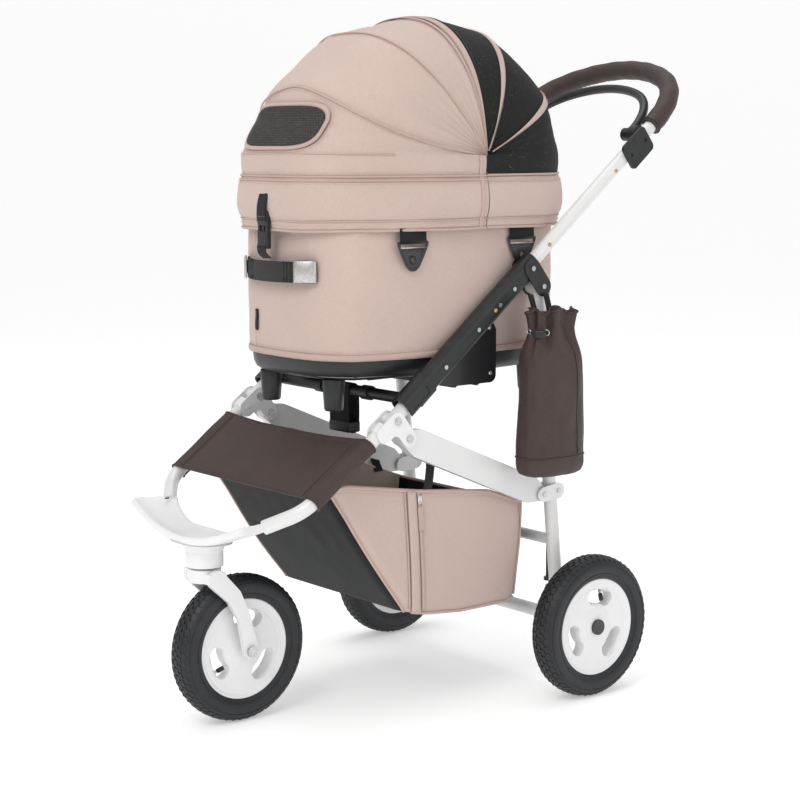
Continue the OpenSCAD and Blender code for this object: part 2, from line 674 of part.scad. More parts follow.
// Plates inside the cot's wall that carry the rib pivots.
rib_pin_r = 3;
plate_in = cot_w / 2 - cot_wall - 4;
front_rib_x = plate_in - 5;
top_rib_x = front_rib_x - 6;
module hood_hinges() color("dimgray") for (side = [-1, 1]) {
    side_extrude(side > 0 ? plate_in : -plate_in - 3, 3)
        link([hood_y, cot_z + 180], 14, [hood_y, hood_z], 11);
    x_rod(side * (plate_in - 6), hood_y, hood_z, rib_pin_r, 16);
}

module hood_mesh() color("black") {
    hood_shell(88, 180, 9);
    hood_band(180, 1);
}
module hood_rib_top() color("silver") hood_rib(93, top_rib_x);
module hood_front() color("rosybrown") {
    hood_shell(0, 87, 9);
    hood_band(0, -1);
}
module hood_rib_front() color("silver") hood_rib(26, front_rib_x);
module hood_buckle() color("black") translate([0, hood_y - hood_front - 5, cot_z + 195])
    linear_extrude(62) rounded(26, 9, 3);

// ---- basket and pouch ----
basket_side = [[42, 372], [90, 380], [228, 356], [373, 339], [456, 308], [442, basket_z],
    [198, basket_z]];
basket_room = [[47, 372], [92, 440], [300, 440], [453, 330], [439, basket_z + basket_t],
    [200, basket_z + basket_t]];
module basket() color("rosybrown") difference() {
    side_extrude(-basket_w / 2, basket_w) polygon(basket_side);
    side_extrude(-basket_w / 2 + basket_t, basket_w - 2 * basket_t) polygon(basket_room);
}

pouch_x = side_x + sleeve_w / 2 + PLATE + 36.5;
pouch_y = LEG_TOP[0] - 19;
module pouch_outline(inset) translate([pouch_x, pouch_y])
    stadium(70 - 2 * inset, 122 - 2 * inset);
module pouch() color("saddlebrown") difference() {
    translate([0, 0, pouch_z]) linear_extrude(pouch_h) pouch_outline(0);
    translate([0, 0, pouch_z + 3]) linear_extrude(pouch_h) pouch_outline(3);
}

place() upper_tube();
place() handle_grip();
place() sleeve(side_x);  // sleeve_left
place() sleeve(-side_x);  // sleeve_right
place() side_plate(1);  // side_plate_left
place() side_plate(-1);  // side_plate_right
place() leg_lug(side_x);  // leg_lug_left
place() leg_lug(-side_x);  // leg_lug_right
place() leg(side_x);  // rear_leg_left
place() leg(-side_x);  // rear_leg_right
place() rear_bracket(side_x);  // rear_bracket_left
place() rear_bracket(-side_x);  // rear_bracket_right
place() rear_cross_tube();
place() rear_axle();
place() cot_cradle();
place() accessory_plate(side_x);  // accessory_plate_left
place() accessory_plate(-side_x);  // accessory_plate_right
place() brake_housing(1);  // brake_housing_left
place() brake_housing(-1);  // brake_housing_right
place() frame_rivets();
place() brake_bar();
place() brake_rods();
place() brake_springs();
place() lock_collar(side_x);  // lock_collar_left
place() lock_collar(-side_x);  // lock_collar_right
place() release_bar();
place() pull_strap();
place() front_tube();
place() front_bracket(side_x);  // front_bracket_left
place() front_bracket(-side_x);  // front_bracket_right
place() hinge_pins();
place() platform_tray();
place() swivel_housing();
place() footrest_panel();
place() side_beam(side_x);  // side_beam_left
place() side_beam(-side_x);  // side_beam_right
place() fork();
place() front_axle();
place()  // front_rim
    wheel_rim(0, 0, front_axle_d, -hub_half, hub_half);
place() wheel_tyre(0, 0);  // front_tyre
place()  // rear_rim_left
    wheel_rim(wheel_x, wheel_base, stub_d, -hub_half, hub_out);
place() wheel_tyre(wheel_x, wheel_base);  // rear_tyre_left
place() wheel_cap(1);  // rear_cap_left
place()  // rear_rim_right
    wheel_rim(-wheel_x, wheel_base, stub_d, -hub_out, hub_half);
place() wheel_tyre(-wheel_x, wheel_base);  // rear_tyre_right
place() wheel_cap(-1);  // rear_cap_right
place() cot_tray();
place() cot_feet();
place() cot_shell();
place() cot_mat();
place() grab_handle();
place() strap_lugs();
place() hood_hinges();
place() hood_mesh();
place() hood_rib_top();
place() hood_front();
place() hood_rib_front();
place() hood_buckle();
place() basket();
place() pouch();
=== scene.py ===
"""Looks of a three-wheel pet stroller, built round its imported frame.

Lengths are in metres. at(x, y, z) places a point y behind the front axle and z above the floor.
"""
import math

import bmesh
import bpy
import numpy as np
from mathutils import Matrix, Vector, noise


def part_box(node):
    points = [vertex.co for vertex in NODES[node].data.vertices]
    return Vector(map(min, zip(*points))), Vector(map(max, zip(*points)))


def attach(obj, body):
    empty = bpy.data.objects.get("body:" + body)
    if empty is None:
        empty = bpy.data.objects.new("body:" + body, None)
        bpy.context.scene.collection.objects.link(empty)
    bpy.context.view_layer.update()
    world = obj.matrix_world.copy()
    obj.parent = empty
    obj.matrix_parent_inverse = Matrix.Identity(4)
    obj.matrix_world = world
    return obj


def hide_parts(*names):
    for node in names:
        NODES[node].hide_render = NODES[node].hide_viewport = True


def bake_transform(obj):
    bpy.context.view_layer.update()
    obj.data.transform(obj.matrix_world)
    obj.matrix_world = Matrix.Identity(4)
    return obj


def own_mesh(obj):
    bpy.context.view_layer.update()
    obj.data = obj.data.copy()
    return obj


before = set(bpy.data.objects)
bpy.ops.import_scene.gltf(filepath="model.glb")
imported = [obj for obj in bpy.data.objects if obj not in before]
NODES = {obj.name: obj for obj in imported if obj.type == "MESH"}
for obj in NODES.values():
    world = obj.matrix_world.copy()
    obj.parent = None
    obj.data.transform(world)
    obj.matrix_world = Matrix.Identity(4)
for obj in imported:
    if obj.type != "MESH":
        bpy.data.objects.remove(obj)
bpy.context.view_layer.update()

# ---- places taken from the frame ----


def middle(node):
    low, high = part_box(node)
    return (low + high) / 2


FRONT_AXLE = middle("front_axle")
REAR_AXLE = middle("rear_axle")
WHEEL_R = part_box("front_tyre")[1].z / 2
REAR_X = middle("rear_tyre_left").x
TUBE_X = 0.1805
TUBE_R = 0.011


def at(x, y, z):
    return Vector((x, y + FRONT_AXLE.y, z))


HINGE = at(0, 0.1613, 0.4748)
FRAME_SLOPE = math.radians(38.6)
FRONT_SLOPE = math.radians(36)


def on_slope(x, s, n=0.0, slope=FRAME_SLOPE):
    """Point s up a slope from the fold hinge, n square to it."""
    c, k = math.cos(slope), math.sin(slope)
    return Vector((x, HINGE.y + s * c - n * k, HINGE.z + s * k + n * c))


def on_front(x, s, n=0.0):
    return on_slope(x, s, n, FRONT_SLOPE)


# ---- shader language ----
class Wire:
    """One shader output. Python's operators on it add the Math nodes."""

    def __init__(self, finish, socket):
        self.finish, self.socket = finish, socket

    def math(self, operation, *others):
        values = [self, *others]
        return self.finish.add("Math", {"operation": operation}, dict(enumerate(values)))

    def __add__(self, other):
        return self.math("ADD", other)

    def __sub__(self, other):
        return self.math("SUBTRACT", other)

    def __mul__(self, other):
        return self.math("MULTIPLY", other)

    def __truediv__(self, other):
        return self.math("DIVIDE", other)

    def __rsub__(self, other):
        return self.finish.add("Math", {"operation": "SUBTRACT"}, {0: other, 1: self})

    def __gt__(self, other):
        return self.math("GREATER_THAN", other)

    def __lt__(self, other):
        return self.math("LESS_THAN", other)

    def __pow__(self, other):
        return self.math("POWER", other)

    __radd__ = __add__
    __rmul__ = __mul__


class Finish:
    """A named material, with one method that adds any node."""

    def __init__(self, name, roughness=0.5, metallic=0.0):
        self.material = bpy.data.materials.new(name)
        self.material.use_nodes = True
        self.tree = self.material.node_tree
        self.shader = self.tree.nodes["Principled BSDF"]
        self.shader.inputs["Roughness"].default_value = roughness
        self.shader.inputs["Metallic"].default_value = metallic

    def add(self, kind, settings=None, inputs=None, out=0):
        node = self.tree.nodes.new("ShaderNode" + kind)
        for key, value in (settings or {}).items():
            if key == "stops":
                ramp = node.color_ramp.elements
                while len(ramp) < len(value):
                    ramp.new(0.5)
                for element, (position, colour) in zip(ramp, value):
                    element.position = position
                    element.color = (*colour, 1)
            else:
                setattr(node, key, value)
        for key, value in (inputs or {}).items():
            self.feed(node.inputs[key], value)
        return Wire(self, node.outputs[out])

    def feed(self, socket, value):
        if isinstance(value, Wire):
            self.tree.links.new(value.socket, socket)
        else:
            socket.default_value = value

    def place(self, kind="Object", scale=(1, 1, 1)):
        where = self.add("TexCoord", out=kind)
        return self.add("Mapping", None, {"Vector": where, "Scale": scale})

    def noise(self, where, scale, detail=2.0, rough=0.5):
        return self.add("TexNoise", None, {"Vector": where, "Scale": scale, "Detail": detail,
                                           "Roughness": rough}, "Fac")

    def ramp(self, value, stops):
        return self.add("ValToRGB", {"stops": stops}, {"Fac": value}, "Color")

    def mix(self, share, low, high):
        return self.add("Mix", {"data_type": "RGBA"}, {"Factor": share, 6: low, 7: high}, 2)

    def colour(self, value):
        self.feed(self.shader.inputs["Base Color"], value)
        return self

    def rough(self, value):
        self.feed(self.shader.inputs["Roughness"], value)
        return self

    def bump(self, height, distance, strength=1.0):
        normal = self.add("Bump", None, {"Height": height, "Distance": distance, "Strength": strength},
                          "Normal")
        self.feed(self.shader.inputs["Normal"], normal)
        return self

    def fixed(self, **sockets):
        for key, value in sockets.items():
            self.shader.inputs[key.replace("_", " ")].default_value = value
        return self


def rgba(r, g, b):
    return (r, g, b, 1)


def painted(name, base, roughness, coat):
    """Powder-coated or moulded surface: faint orange peel, handling marks and dust in the colour."""
    f = Finish(name)
    where = f.place()
    marks = f.noise(where, 24, 5, 0.65)
    grime = f.noise(where, 5, 4, 0.6)
    dull = [c * 0.93 for c in base]
    f.colour(f.ramp(grime * 0.6 + marks * 0.4, [(0.3, dull), (0.62, base)]))
    f.rough(marks * 0.14 + (roughness - 0.07))
    f.bump(f.noise(where, 900, 2), 0.00006, 0.7)
    return f.fixed(Coat_Weight=coat, Coat_Roughness=0.12)


def moulded(name, base, roughness, grain=1700):
    """Injection-moulded plastic with a fine spark texture and lighter rubbed patches."""
    f = Finish(name)
    where = f.place()
    rub = f.noise(where, 38, 6, 0.7)
    light = [min(1, c * 1.5 + 0.006) for c in base]
    f.colour(f.ramp(rub, [(0.42, base), (0.8, light)]))
    f.rough(rub * 0.22 + (roughness - 0.1))
    f.bump(f.noise(where, grain, 3), 0.00008, 0.6)
    return f


def metal(name, base, roughness, grain=(1, 1, 30)):
    """Bright metal with a drawn grain and dull specks."""
    f = Finish(name, metallic=1.0)
    where = f.place(scale=grain)
    lines = f.noise(where, 160, 4, 0.6)
    specks = f.noise(f.place(), 420, 2)
    f.colour(f.ramp(specks, [(0.35, [c * 0.78 for c in base]), (0.6, base)]))
    f.rough(lines * 0.2 + (roughness - 0.1))
    f.bump(lines, 0.00004, 0.5)
    return f


def leather(name, base):
    """Pebbled leatherette: cells with creases between them; the creases carry painted shade and the cells
    vary lighter and darker at random.
    """
    f = Finish(name)
    where = f.place()
    warp = f.add("Mix", {"data_type": "VECTOR"}, {"Factor": 0.0012, 4: where,
                 5: f.add("TexNoise", None, {"Vector": where, "Scale": 300.0}, "Color")}, 1)
    pebble = f.add("TexVoronoi", {"feature": "DISTANCE_TO_EDGE"}, {"Vector": warp, "Scale": 620.0},
                   "Distance")
    fine = f.noise(where, 2400, 2)
    cloud = f.noise(where, 16, 4, 0.6)
    crease = (pebble * 7).math("MINIMUM", 1.0)
    # Painted shade: the creases between the cells take a colour at 0.62 of the base, while the cells take a
    # random tone.
    painted_shade, pale = [c * 0.62 for c in base], [c * 1.38 for c in base]
    cell_tone = f.ramp(cloud * 0.7 + fine * 0.3, [(0.3, [c * 0.86 for c in base]), (0.7, pale)])
    f.colour(f.mix(crease, rgba(*painted_shade), cell_tone))
    f.rough(0.62 - crease * 0.16 + cloud * 0.08)
    f.bump(crease * 0.8 + fine * 0.2, 0.0003, 0.75)
    return f.fixed(Specular_IOR_Level=0.5)


def woven(name, base, pitch=0.0011, kind="UV", depth=0.00022, slub=1.0, sheen=0.25):
    """Plain-weave cloth: over-and-under threads, slubs along both directions and soft soiling."""
    f = Finish(name, roughness=0.85)
    where = f.add("TexCoord", out=kind)
    split = f.add("SeparateXYZ", None, {0: where})
    across = Wire(f, split.socket.node.outputs[1])
    turn = math.tau / pitch
    warp = (split * turn).math("SINE")
    weft = (across * turn).math("SINE")
    over = (warp * weft) * 0.5 + 0.5
    slub_x = f.noise(f.place(kind, (1, 14, 1)), 110, 3)
    slub_y = f.noise(f.place(kind, (14, 1, 1)), 110, 3)
    cloud = f.noise(f.place("Object"), 7, 4, 0.6)
    yarn = slub_x * (0.5 * slub) + slub_y * (0.5 * slub) + cloud * 0.35
    low, high = [c * 0.87 for c in base], [min(1, c * 1.08) for c in base]
    tint = f.ramp(yarn, [(0.42, low), (0.86, high)])
    f.colour(f.mix(over * 0.16, tint, rgba(*[c * 0.7 for c in base])))
    f.bump(over + yarn * 0.4, depth, 0.8)
    return f.fixed(Sheen_Weight=sheen, Sheen_Roughness=0.5, Specular_IOR_Level=0.25)


def netting(name, base, pitch, open_share, kind="UV"):
    """Knitted net: staggered round holes through black yarn."""
    f = Finish(name, roughness=0.7)
    where = f.add("TexCoord", out=kind)
    split = f.add("SeparateXYZ", None, {0: where})
    v = Wire(f, split.socket.node.outputs[1])
    row = v / (pitch * 0.866)
    shift = row.math("FLOOR").math("MODULO", 2.0).math("ABSOLUTE") * 0.5
    u = (split / pitch + shift).math("FRACT") - 0.5
    w = (row.math("FRACT") - 0.5) * 0.866
    gap = (u * u + w * w).math("SQRT")
    solid = gap.math("SMOOTH_MIN", 0.5, 0.02) > open_share
    f.colour(f.ramp(f.noise(f.place(), 300, 3),
                    [(0.3, [c * 0.6 for c in base]), (0.7, [c * 1.6 for c in base])]))
    f.feed(f.shader.inputs["Alpha"], solid)
    f.bump(gap * -1, 0.0004, 0.8)
    return f.fixed(Specular_IOR_Level=0.3)


WHITE_PAINT = painted("white_paint", (0.76, 0.76, 0.76), 0.3, 0.35)
WHITE_PLASTIC = painted("white_plastic", (0.82, 0.82, 0.83), 0.36, 0.1)
BLACK_PLASTIC = moulded("black_plastic", (0.011, 0.012, 0.013), 0.40)
GREY_PLASTIC = moulded("grey_plastic", (0.032, 0.032, 0.034), 0.4)
BLACK_STEEL = painted("black_steel", (0.012, 0.012, 0.014), 0.36, 0.2)
STEEL = metal("bright_steel", (0.62, 0.62, 0.62), 0.26)
BRASS = metal("brass_bolt", (0.62, 0.42, 0.16), 0.3)
BROWN_LEATHER = leather("brown_leatherette", (0.052, 0.031, 0.027))
PINK_CLOTH = woven("pink_cloth", (0.600, 0.465, 0.415))
PINK_TRIM = woven("pink_binding", (0.545, 0.400, 0.355), pitch=0.0016)
PINK_LINING = woven("pink_lining", (0.560, 0.430, 0.385), pitch=0.0014, sheen=0.1)
BLACK_CLOTH = woven("black_cloth", (0.010, 0.011, 0.012), pitch=0.0012, sheen=0.12)
WEBBING = woven("black_webbing", (0.012, 0.013, 0.014), pitch=0.0024, depth=0.0006, sheen=0.1)
GREY_WEBBING = woven("grey_webbing", (0.030, 0.032, 0.030), pitch=0.0024, depth=0.0006, sheen=0.1)
CREAM_CLOTH = woven("cream_quilt", (0.62, 0.55, 0.47), pitch=0.0016)
THREAD_PINK = woven("pink_thread", (0.70, 0.52, 0.46), kind="Object", pitch=0.0006)
THREAD_BROWN = woven("brown_thread", (0.12, 0.085, 0.075), kind="Object", pitch=0.0006)
NET = netting("black_net", (0.008, 0.009, 0.008), 0.0022, 0.09)
WINDOW_NET = netting("window_net", (0.055, 0.052, 0.050), 0.0046, 0.27)
RUBBER = moulded("tyre_rubber", (0.010, 0.011, 0.013), 0.5, grain=900)
ALLOY = metal("cast_alloy", (0.60, 0.58, 0.57), 0.38, grain=(1, 1, 1))

# ---- mesh language ----
SCENE = bpy.context.scene


def finish_mesh(name, mesh, finish, smooth=True):
    mesh.validate()
    obj = bpy.data.objects.new(name, mesh)
    SCENE.collection.objects.link(obj)
    for face in mesh.polygons:
        face.use_smooth = smooth
    for f in finish if isinstance(finish, (list, tuple)) else [finish]:
        mesh.materials.append(f.material)
    return obj


def grid(name, rows, finish, loop=False, ring=False, flip=False):
    """Quad sheet through rows of points, with a UV map in metres. loop closes each row, ring the rows."""
    pts = np.array([[tuple(p) for p in row] for row in rows], float)
    n, m = pts.shape[:2]
    faces, uvs = [], []
    closed = np.concatenate([pts, pts[:, :1]], 1) if loop else pts
    along = np.zeros(closed.shape[:2])
    along[:, 1:] = np.cumsum(np.linalg.norm(np.diff(closed, axis=1), axis=2), 1)
    along -= along[:, [along.shape[1] // 2]]
    tall = np.concatenate([pts, pts[:1]], 0) if ring else pts
    down = np.zeros(tall.shape[:2])
    down[1:] = np.cumsum(np.linalg.norm(np.diff(tall, axis=0), axis=2), 0)
    down = down.mean(1, keepdims=True).repeat(down.shape[1], 1)
    for i in range(n if ring else n - 1):
        for j in range(m if loop else m - 1):
            corners = [(i, j), (i, j + 1), (i + 1, j + 1), (i + 1, j)]
            if flip:
                corners.reverse()
            faces.append([(a % n) * m + b % m for a, b in corners])
            uvs += [(along[min(a, n - 1), b], down[a, 0]) for a, b in corners]
    mesh = bpy.data.meshes.new(name)
    mesh.from_pydata([tuple(p) for p in pts.reshape(-1, 3)], [], faces)
    layer = mesh.uv_layers.new(name="UVMap")
    layer.data.foreach_set("uv", np.array(uvs, np.float32).ravel())
    return finish_mesh(name, mesh, finish)


def modify(obj, kind, **settings):
    m = obj.modifiers.new(kind.lower(), kind)
    for key, value in settings.items():
        setattr(m, key, value)
    return obj


def bake(obj):
    """Applies every modifier."""
    view = bpy.context.evaluated_depsgraph_get()
    mesh = bpy.data.meshes.new_from_object(obj.evaluated_get(view), preserve_all_data_layers=True,
                                           depsgraph=view)
    obj.modifiers.clear()
    obj.data = mesh
    return obj


def wall(obj, thickness, offset=-1.0):
    return modify(obj, "SOLIDIFY", thickness=thickness, offset=offset, use_even_offset=False)


def smooth(obj, levels=1):
    return modify(obj, "SUBSURF", levels=levels, render_levels=levels)


def joined(name, parts):
    """Joins pieces into one object that keeps its materials and UV maps."""
    for p in parts:
        if p.modifiers:
            bake(p)
    bpy.ops.object.select_all(action="DESELECT")
    for p in parts:
        p.select_set(True)
    bpy.context.view_layer.objects.active = parts[0]
    if len(parts) > 1:
        bpy.ops.object.join()
    parts[0].name = name
    return parts[0]


def settle(obj, body, slot, *nodes):
    """Gives a finished piece its body and hides the CAD nodes it stands for; its slot is not used."""
    if obj.modifiers:
        bake(obj)
    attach(obj, body)
    if nodes:
        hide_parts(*nodes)
    return obj


def frames_along(path, up=Vector((0, 0, 1))):
    """Tangent, side and up at each point of a path, carried along it without twist."""
    out, side = [], None
    for i, p in enumerate(path):
        t = (path[min(i + 1, len(path) - 1)] - path[max(i - 1, 0)]).normalized()
        if side is None:
            side = t.cross(up)
            side = side.normalized() if side.length > 1e-4 else t.orthogonal().normalized()
        side = (side - t * side.dot(t)).normalized()
        out.append((t, side, side.cross(t).normalized()))
    return out


def sweep(name, path, finish, section, loop=False, sides=20, up=Vector((0, 0, 1)), cap=True):
    """Tube of any section along a path; section(i, share, angle) gives (side, up) offsets."""
    path = [Vector(p) for p in path]
    rows = []
    last = len(path) - 1
    for i, (p, (t, side, top)) in enumerate(zip(path, frames_along(path, up))):
        row = []
        for k in range(sides):
            a, b = section(i, i / last, math.tau * k / sides)
            row.append(p + side * a + top * b)
        rows.append(row)
    obj = grid(name, rows, finish, loop=True, ring=loop)
    if cap and not loop:
        close_ends(obj, sides, len(path))
    return obj


def close_ends(obj, sides, count):
    bm = bmesh.new()
    bm.from_mesh(obj.data)
    bm.verts.ensure_lookup_table()
    bm.faces.new([bm.verts[k] for k in range(sides)][::-1])
    bm.faces.new([bm.verts[(count - 1) * sides + k] for k in range(sides)])
    bmesh.ops.recalc_face_normals(bm, faces=bm.faces)
    bm.to_mesh(obj.data)
    bm.free()


def rod(name, path, radius, finish, sides=14, loop=False):
    return sweep(name, path, finish, lambda i, s, a: (radius * math.cos(a), radius * math.sin(a)),
                 loop=loop, sides=sides)


def strap(name, path, width, thick, finish, up, ribs=0):
    """Flat webbing with rounded edges along a path; up is the way its face looks."""
    def section(i, s, a):
        x = math.copysign(abs(math.cos(a)) ** 0.35, math.cos(a))
        y = math.copysign(abs(math.sin(a)) ** 0.7, math.sin(a))
        groove = 0.28 * math.cos(math.pi * x * ribs) if ribs else 0.0
        return width / 2 * x, thick / 2 * y * (1 - groove)
    return sweep(name, path, finish, section, sides=40 if ribs else 16, up=up)


def curve_through(points, count):
    """Even points on a smooth curve through the given ones."""
    p = [Vector(q) for q in points]
    fine = []
    for i in range(len(p) - 1):
        a, b, c, d = p[max(i - 1, 0)], p[i], p[i + 1], p[min(i + 2, len(p) - 1)]
        for k in range(24):
            t = k / 24
            fine.append(0.5 * (2 * b + (c - a) * t + (2 * a - 5 * b + 4 * c - d) * t * t
                               + (3 * b - a - 3 * c + d) * t ** 3))
    fine.append(p[-1])
    run = [0.0]
    for u, v in zip(fine, fine[1:]):
        run.append(run[-1] + (v - u).length)
    out = []
    for k in range(count):
        want = run[-1] * k / (count - 1)
        i = min(max(np.searchsorted(run, want) - 1, 0), len(fine) - 2)
        t = (want - run[i]) / max(run[i + 1] - run[i], 1e-9)
        out.append(fine[i].lerp(fine[i + 1], min(t, 1)))
    return out


def block(name, low, high, finish, edge=0.002, taper=0.0, place=None):
    """Moulded block with rounded edges, narrower towards its top by taper."""
    bm = bmesh.new()
    bmesh.ops.create_cube(bm, size=1)
    for v in bm.verts:
        k = 1 - taper * (v.co.z + 0.5)
        v.co = Vector([low[i] + (high[i] - low[i]) * (v.co[i] * (k if i < 2 else 1) + 0.5) for i in range(3)])
    bmesh.ops.bevel(bm, geom=bm.edges[:], offset=edge, segments=3, profile=0.6, affect="EDGES")
    if place is not None:
        bm.transform(place)
    mesh = bpy.data.meshes.new(name)
    bm.to_mesh(mesh)
    bm.free()
    return finish_mesh(name, mesh, finish)


def lathe(name, profile, finish, centre, axis="X", steps=64):
    """Turned piece: profile of (along, radius) pairs round an axis through centre."""
    rows = []
    for along, radius in profile:
        row = []
        for k in range(steps):
            a = math.tau * k / steps
            c, s = radius * math.cos(a), radius * math.sin(a)
            row.append(centre + (Vector((along, c, s)) if axis == "X" else Vector((c, s, along))))
        rows.append(row)
    obj = grid(name, rows, finish, loop=True)
    bm = bmesh.new()
    bm.from_mesh(obj.data)
    bmesh.ops.remove_doubles(bm, verts=bm.verts, dist=1e-6)
    bmesh.ops.recalc_face_normals(bm, faces=bm.faces)
    bm.to_mesh(obj.data)
    bm.free()
    return obj


# ---- geometry node trees for what repeats ----
class Nodes:
    """A Geometry Nodes tree under construction."""

    def __init__(self, name, inputs):
        self.tree = bpy.data.node_groups.new(name, "GeometryNodeTree")
        face = self.tree.interface
        face.new_socket("Geometry", in_out="OUTPUT", socket_type="NodeSocketGeometry")
        face.new_socket("Geometry", in_out="INPUT", socket_type="NodeSocketGeometry")
        for label, kind in inputs:
            face.new_socket(label, in_out="INPUT", socket_type="NodeSocket" + kind)
        self.enter = self.tree.nodes.new("NodeGroupInput")
        self.leave = self.tree.nodes.new("NodeGroupOutput")

    def add(self, kind, settings=None, inputs=None):
        node = self.tree.nodes.new(kind)
        for key, value in (settings or {}).items():
            setattr(node, key, value)
        for key, value in (inputs or {}).items():
            if isinstance(value, bpy.types.NodeSocket):
                self.tree.links.new(value, node.inputs[key])
            else:
                node.inputs[key].default_value = value
        return node

    def end(self, geometry, material):
        real = self.add("GeometryNodeRealizeInstances", None, {"Geometry": geometry})
        paint = self.add("GeometryNodeSetMaterial", None,
                         {"Geometry": real.outputs[0], "Material": material})
        self.tree.links.new(paint.outputs[0], self.leave.inputs[0])
        return self.tree


def grown(obj, tree, finish, **values):
    """Runs a tree on an object and keeps the result as a plain mesh."""
    m = obj.modifiers.new("grow", "NODES")
    m.node_group = tree
    sockets = {s.name: s.identifier for s in tree.interface.items_tree if s.in_out == "INPUT"}
    for key, value in values.items():
        m[sockets[key.replace("_", " ")]] = value
    m[sockets["Finish"]] = finish.material
    bpy.context.view_layer.update()
    bake(obj)
    return obj


def stitch_tree():
    """Short threads laid end to end along a line."""
    t = Nodes("stitches", [("Spacing", "Float"), ("Length", "Float"), ("Thread", "Float"),
                           ("Finish", "Material")])
    line = t.add("GeometryNodeMeshToCurve", None, {"Mesh": t.enter.outputs["Geometry"]})
    even = t.add("GeometryNodeCurveToPoints", {"mode": "LENGTH"},
                 {"Curve": line.outputs[0], "Length": t.enter.outputs["Spacing"]})
    seed = t.add("GeometryNodeMeshUVSphere", None, {"Segments": 6, "Rings": 4, "Radius": 0.5})
    size = t.add("ShaderNodeCombineXYZ", None, {"X": t.enter.outputs["Thread"],
                 "Y": t.enter.outputs["Thread"], "Z": t.enter.outputs["Length"]})
    laid = t.add("GeometryNodeInstanceOnPoints", None, {"Points": even.outputs["Points"],
                 "Instance": seed.outputs["Mesh"], "Rotation": even.outputs["Rotation"],
                 "Scale": size.outputs[0]})
    return t.end(laid.outputs[0], t.enter.outputs["Finish"])


def stud_tree():
    """Domed heads set on points along their normals."""
    t = Nodes("rivets", [("Radius", "Float"), ("Height", "Float"), ("Finish", "Material")])
    head = t.add("GeometryNodeMeshUVSphere", None, {"Segments": 16, "Rings": 8, "Radius": 1.0})
    size = t.add("ShaderNodeCombineXYZ", None, {"X": t.enter.outputs["Radius"],
                 "Y": t.enter.outputs["Radius"], "Z": t.enter.outputs["Height"]})
    way = t.add("GeometryNodeInputNamedAttribute", {"data_type": "FLOAT_VECTOR"}, {"Name": "way"})
    turn = t.add("FunctionNodeAlignRotationToVector", {"axis": "Z"}, {"Vector": way.outputs[0]})
    points = t.add("GeometryNodeMeshToPoints", None, {"Mesh": t.enter.outputs["Geometry"]})
    laid = t.add("GeometryNodeInstanceOnPoints", None, {"Points": points.outputs[0],
                 "Instance": head.outputs["Mesh"], "Rotation": turn.outputs[0], "Scale": size.outputs[0]})
    return t.end(laid.outputs[0], t.enter.outputs["Finish"])


def coil_tree():
    """Wire wound into a spring."""
    t = Nodes("coil_spring",
              [("Turns", "Float"), ("Radius", "Float"), ("Height", "Float"), ("Wire", "Float"),
                              ("Finish", "Material")])
    helix = t.add("GeometryNodeCurveSpiral", None, {"Resolution": 18, "Rotations": t.enter.outputs["Turns"],
                  "Start Radius": t.enter.outputs["Radius"], "End Radius": t.enter.outputs["Radius"],
                  "Height": t.enter.outputs["Height"]})
    wire = t.add("GeometryNodeCurvePrimitiveCircle", None,
                 {"Resolution": 8, "Radius": t.enter.outputs["Wire"]})
    tube = t.add("GeometryNodeCurveToMesh", None,
                 {"Curve": helix.outputs[0], "Profile Curve": wire.outputs[0],
                 "Fill Caps": True})
    return t.end(tube.outputs[0], t.enter.outputs["Finish"])


def tread_tree():
    """Tread blocks set on points round a tyre, each turned to face out."""
    t = Nodes("tyre_tread",
              [("Long", "Float"), ("Wide", "Float"), ("Tall", "Float"), ("Finish", "Material")])
    size = t.add("ShaderNodeCombineXYZ", None, {"X": t.enter.outputs["Wide"], "Y": t.enter.outputs["Long"],
                 "Z": t.enter.outputs["Tall"]})
    lug = t.add("GeometryNodeMeshCube", None, {"Size": size.outputs[0]})
    way = t.add("GeometryNodeInputNamedAttribute", {"data_type": "FLOAT_VECTOR"}, {"Name": "way"})
    side = t.add("GeometryNodeInputNamedAttribute", {"data_type": "FLOAT_VECTOR"}, {"Name": "side"})
    first = t.add("FunctionNodeAlignRotationToVector", {"axis": "Z"}, {"Vector": way.outputs[0]})
    second = t.add("FunctionNodeAlignRotationToVector", {"axis": "X", "pivot_axis": "Z"},
                   {"Rotation": first.outputs[0], "Vector": side.outputs[0]})
    points = t.add("GeometryNodeMeshToPoints", None, {"Mesh": t.enter.outputs["Geometry"]})
    laid = t.add("GeometryNodeInstanceOnPoints", None, {"Points": points.outputs[0],
                 "Instance": lug.outputs["Mesh"], "Rotation": second.outputs[0]})
    return t.end(laid.outputs[0], t.enter.outputs["Finish"])


STITCHES, STUDS, COIL, TREAD = stitch_tree(), stud_tree(), coil_tree(), tread_tree()


def bare(name, points, edges=(), **ways):
    """Loose points and edges that a tree grows on, with vector attributes."""
    mesh = bpy.data.meshes.new(name)
    mesh.from_pydata([tuple(p) for p in points], list(edges), [])
    for key, vectors in ways.items():
        layer = mesh.attributes.new(key, "FLOAT_VECTOR", "POINT")
        layer.data.foreach_set("vector", np.array([tuple(v) for v in vectors], np.float32).ravel())
    obj = bpy.data.objects.new(name, mesh)
    SCENE.collection.objects.link(obj)
    return obj


def stitched(name, lines, finish, spacing=0.0042, length=0.0030, thread=0.0009):
    points, edges = [], []
    for line in lines:
        first = len(points)
        points += list(line)
        edges += [(first + i, first + i + 1) for i in range(len(line) - 1)]
    return grown(bare(name, points, edges), STITCHES, finish, Spacing=spacing, Length=length, Thread=thread)


def studded(name, spots, finish, radius, height):
    """Rivet heads at (point, normal) spots."""
    obj = bare(name, [p for p, _ in spots], way=[n for _, n in spots])
    return grown(obj, STUDS, finish, Radius=radius, Height=height)

# ---- cot ----
COT_W, COT_L, COT_R, COT_Y = 0.324, 0.492, 0.140, 0.328
COT_HEM, COT_TOP = 0.566, 0.790


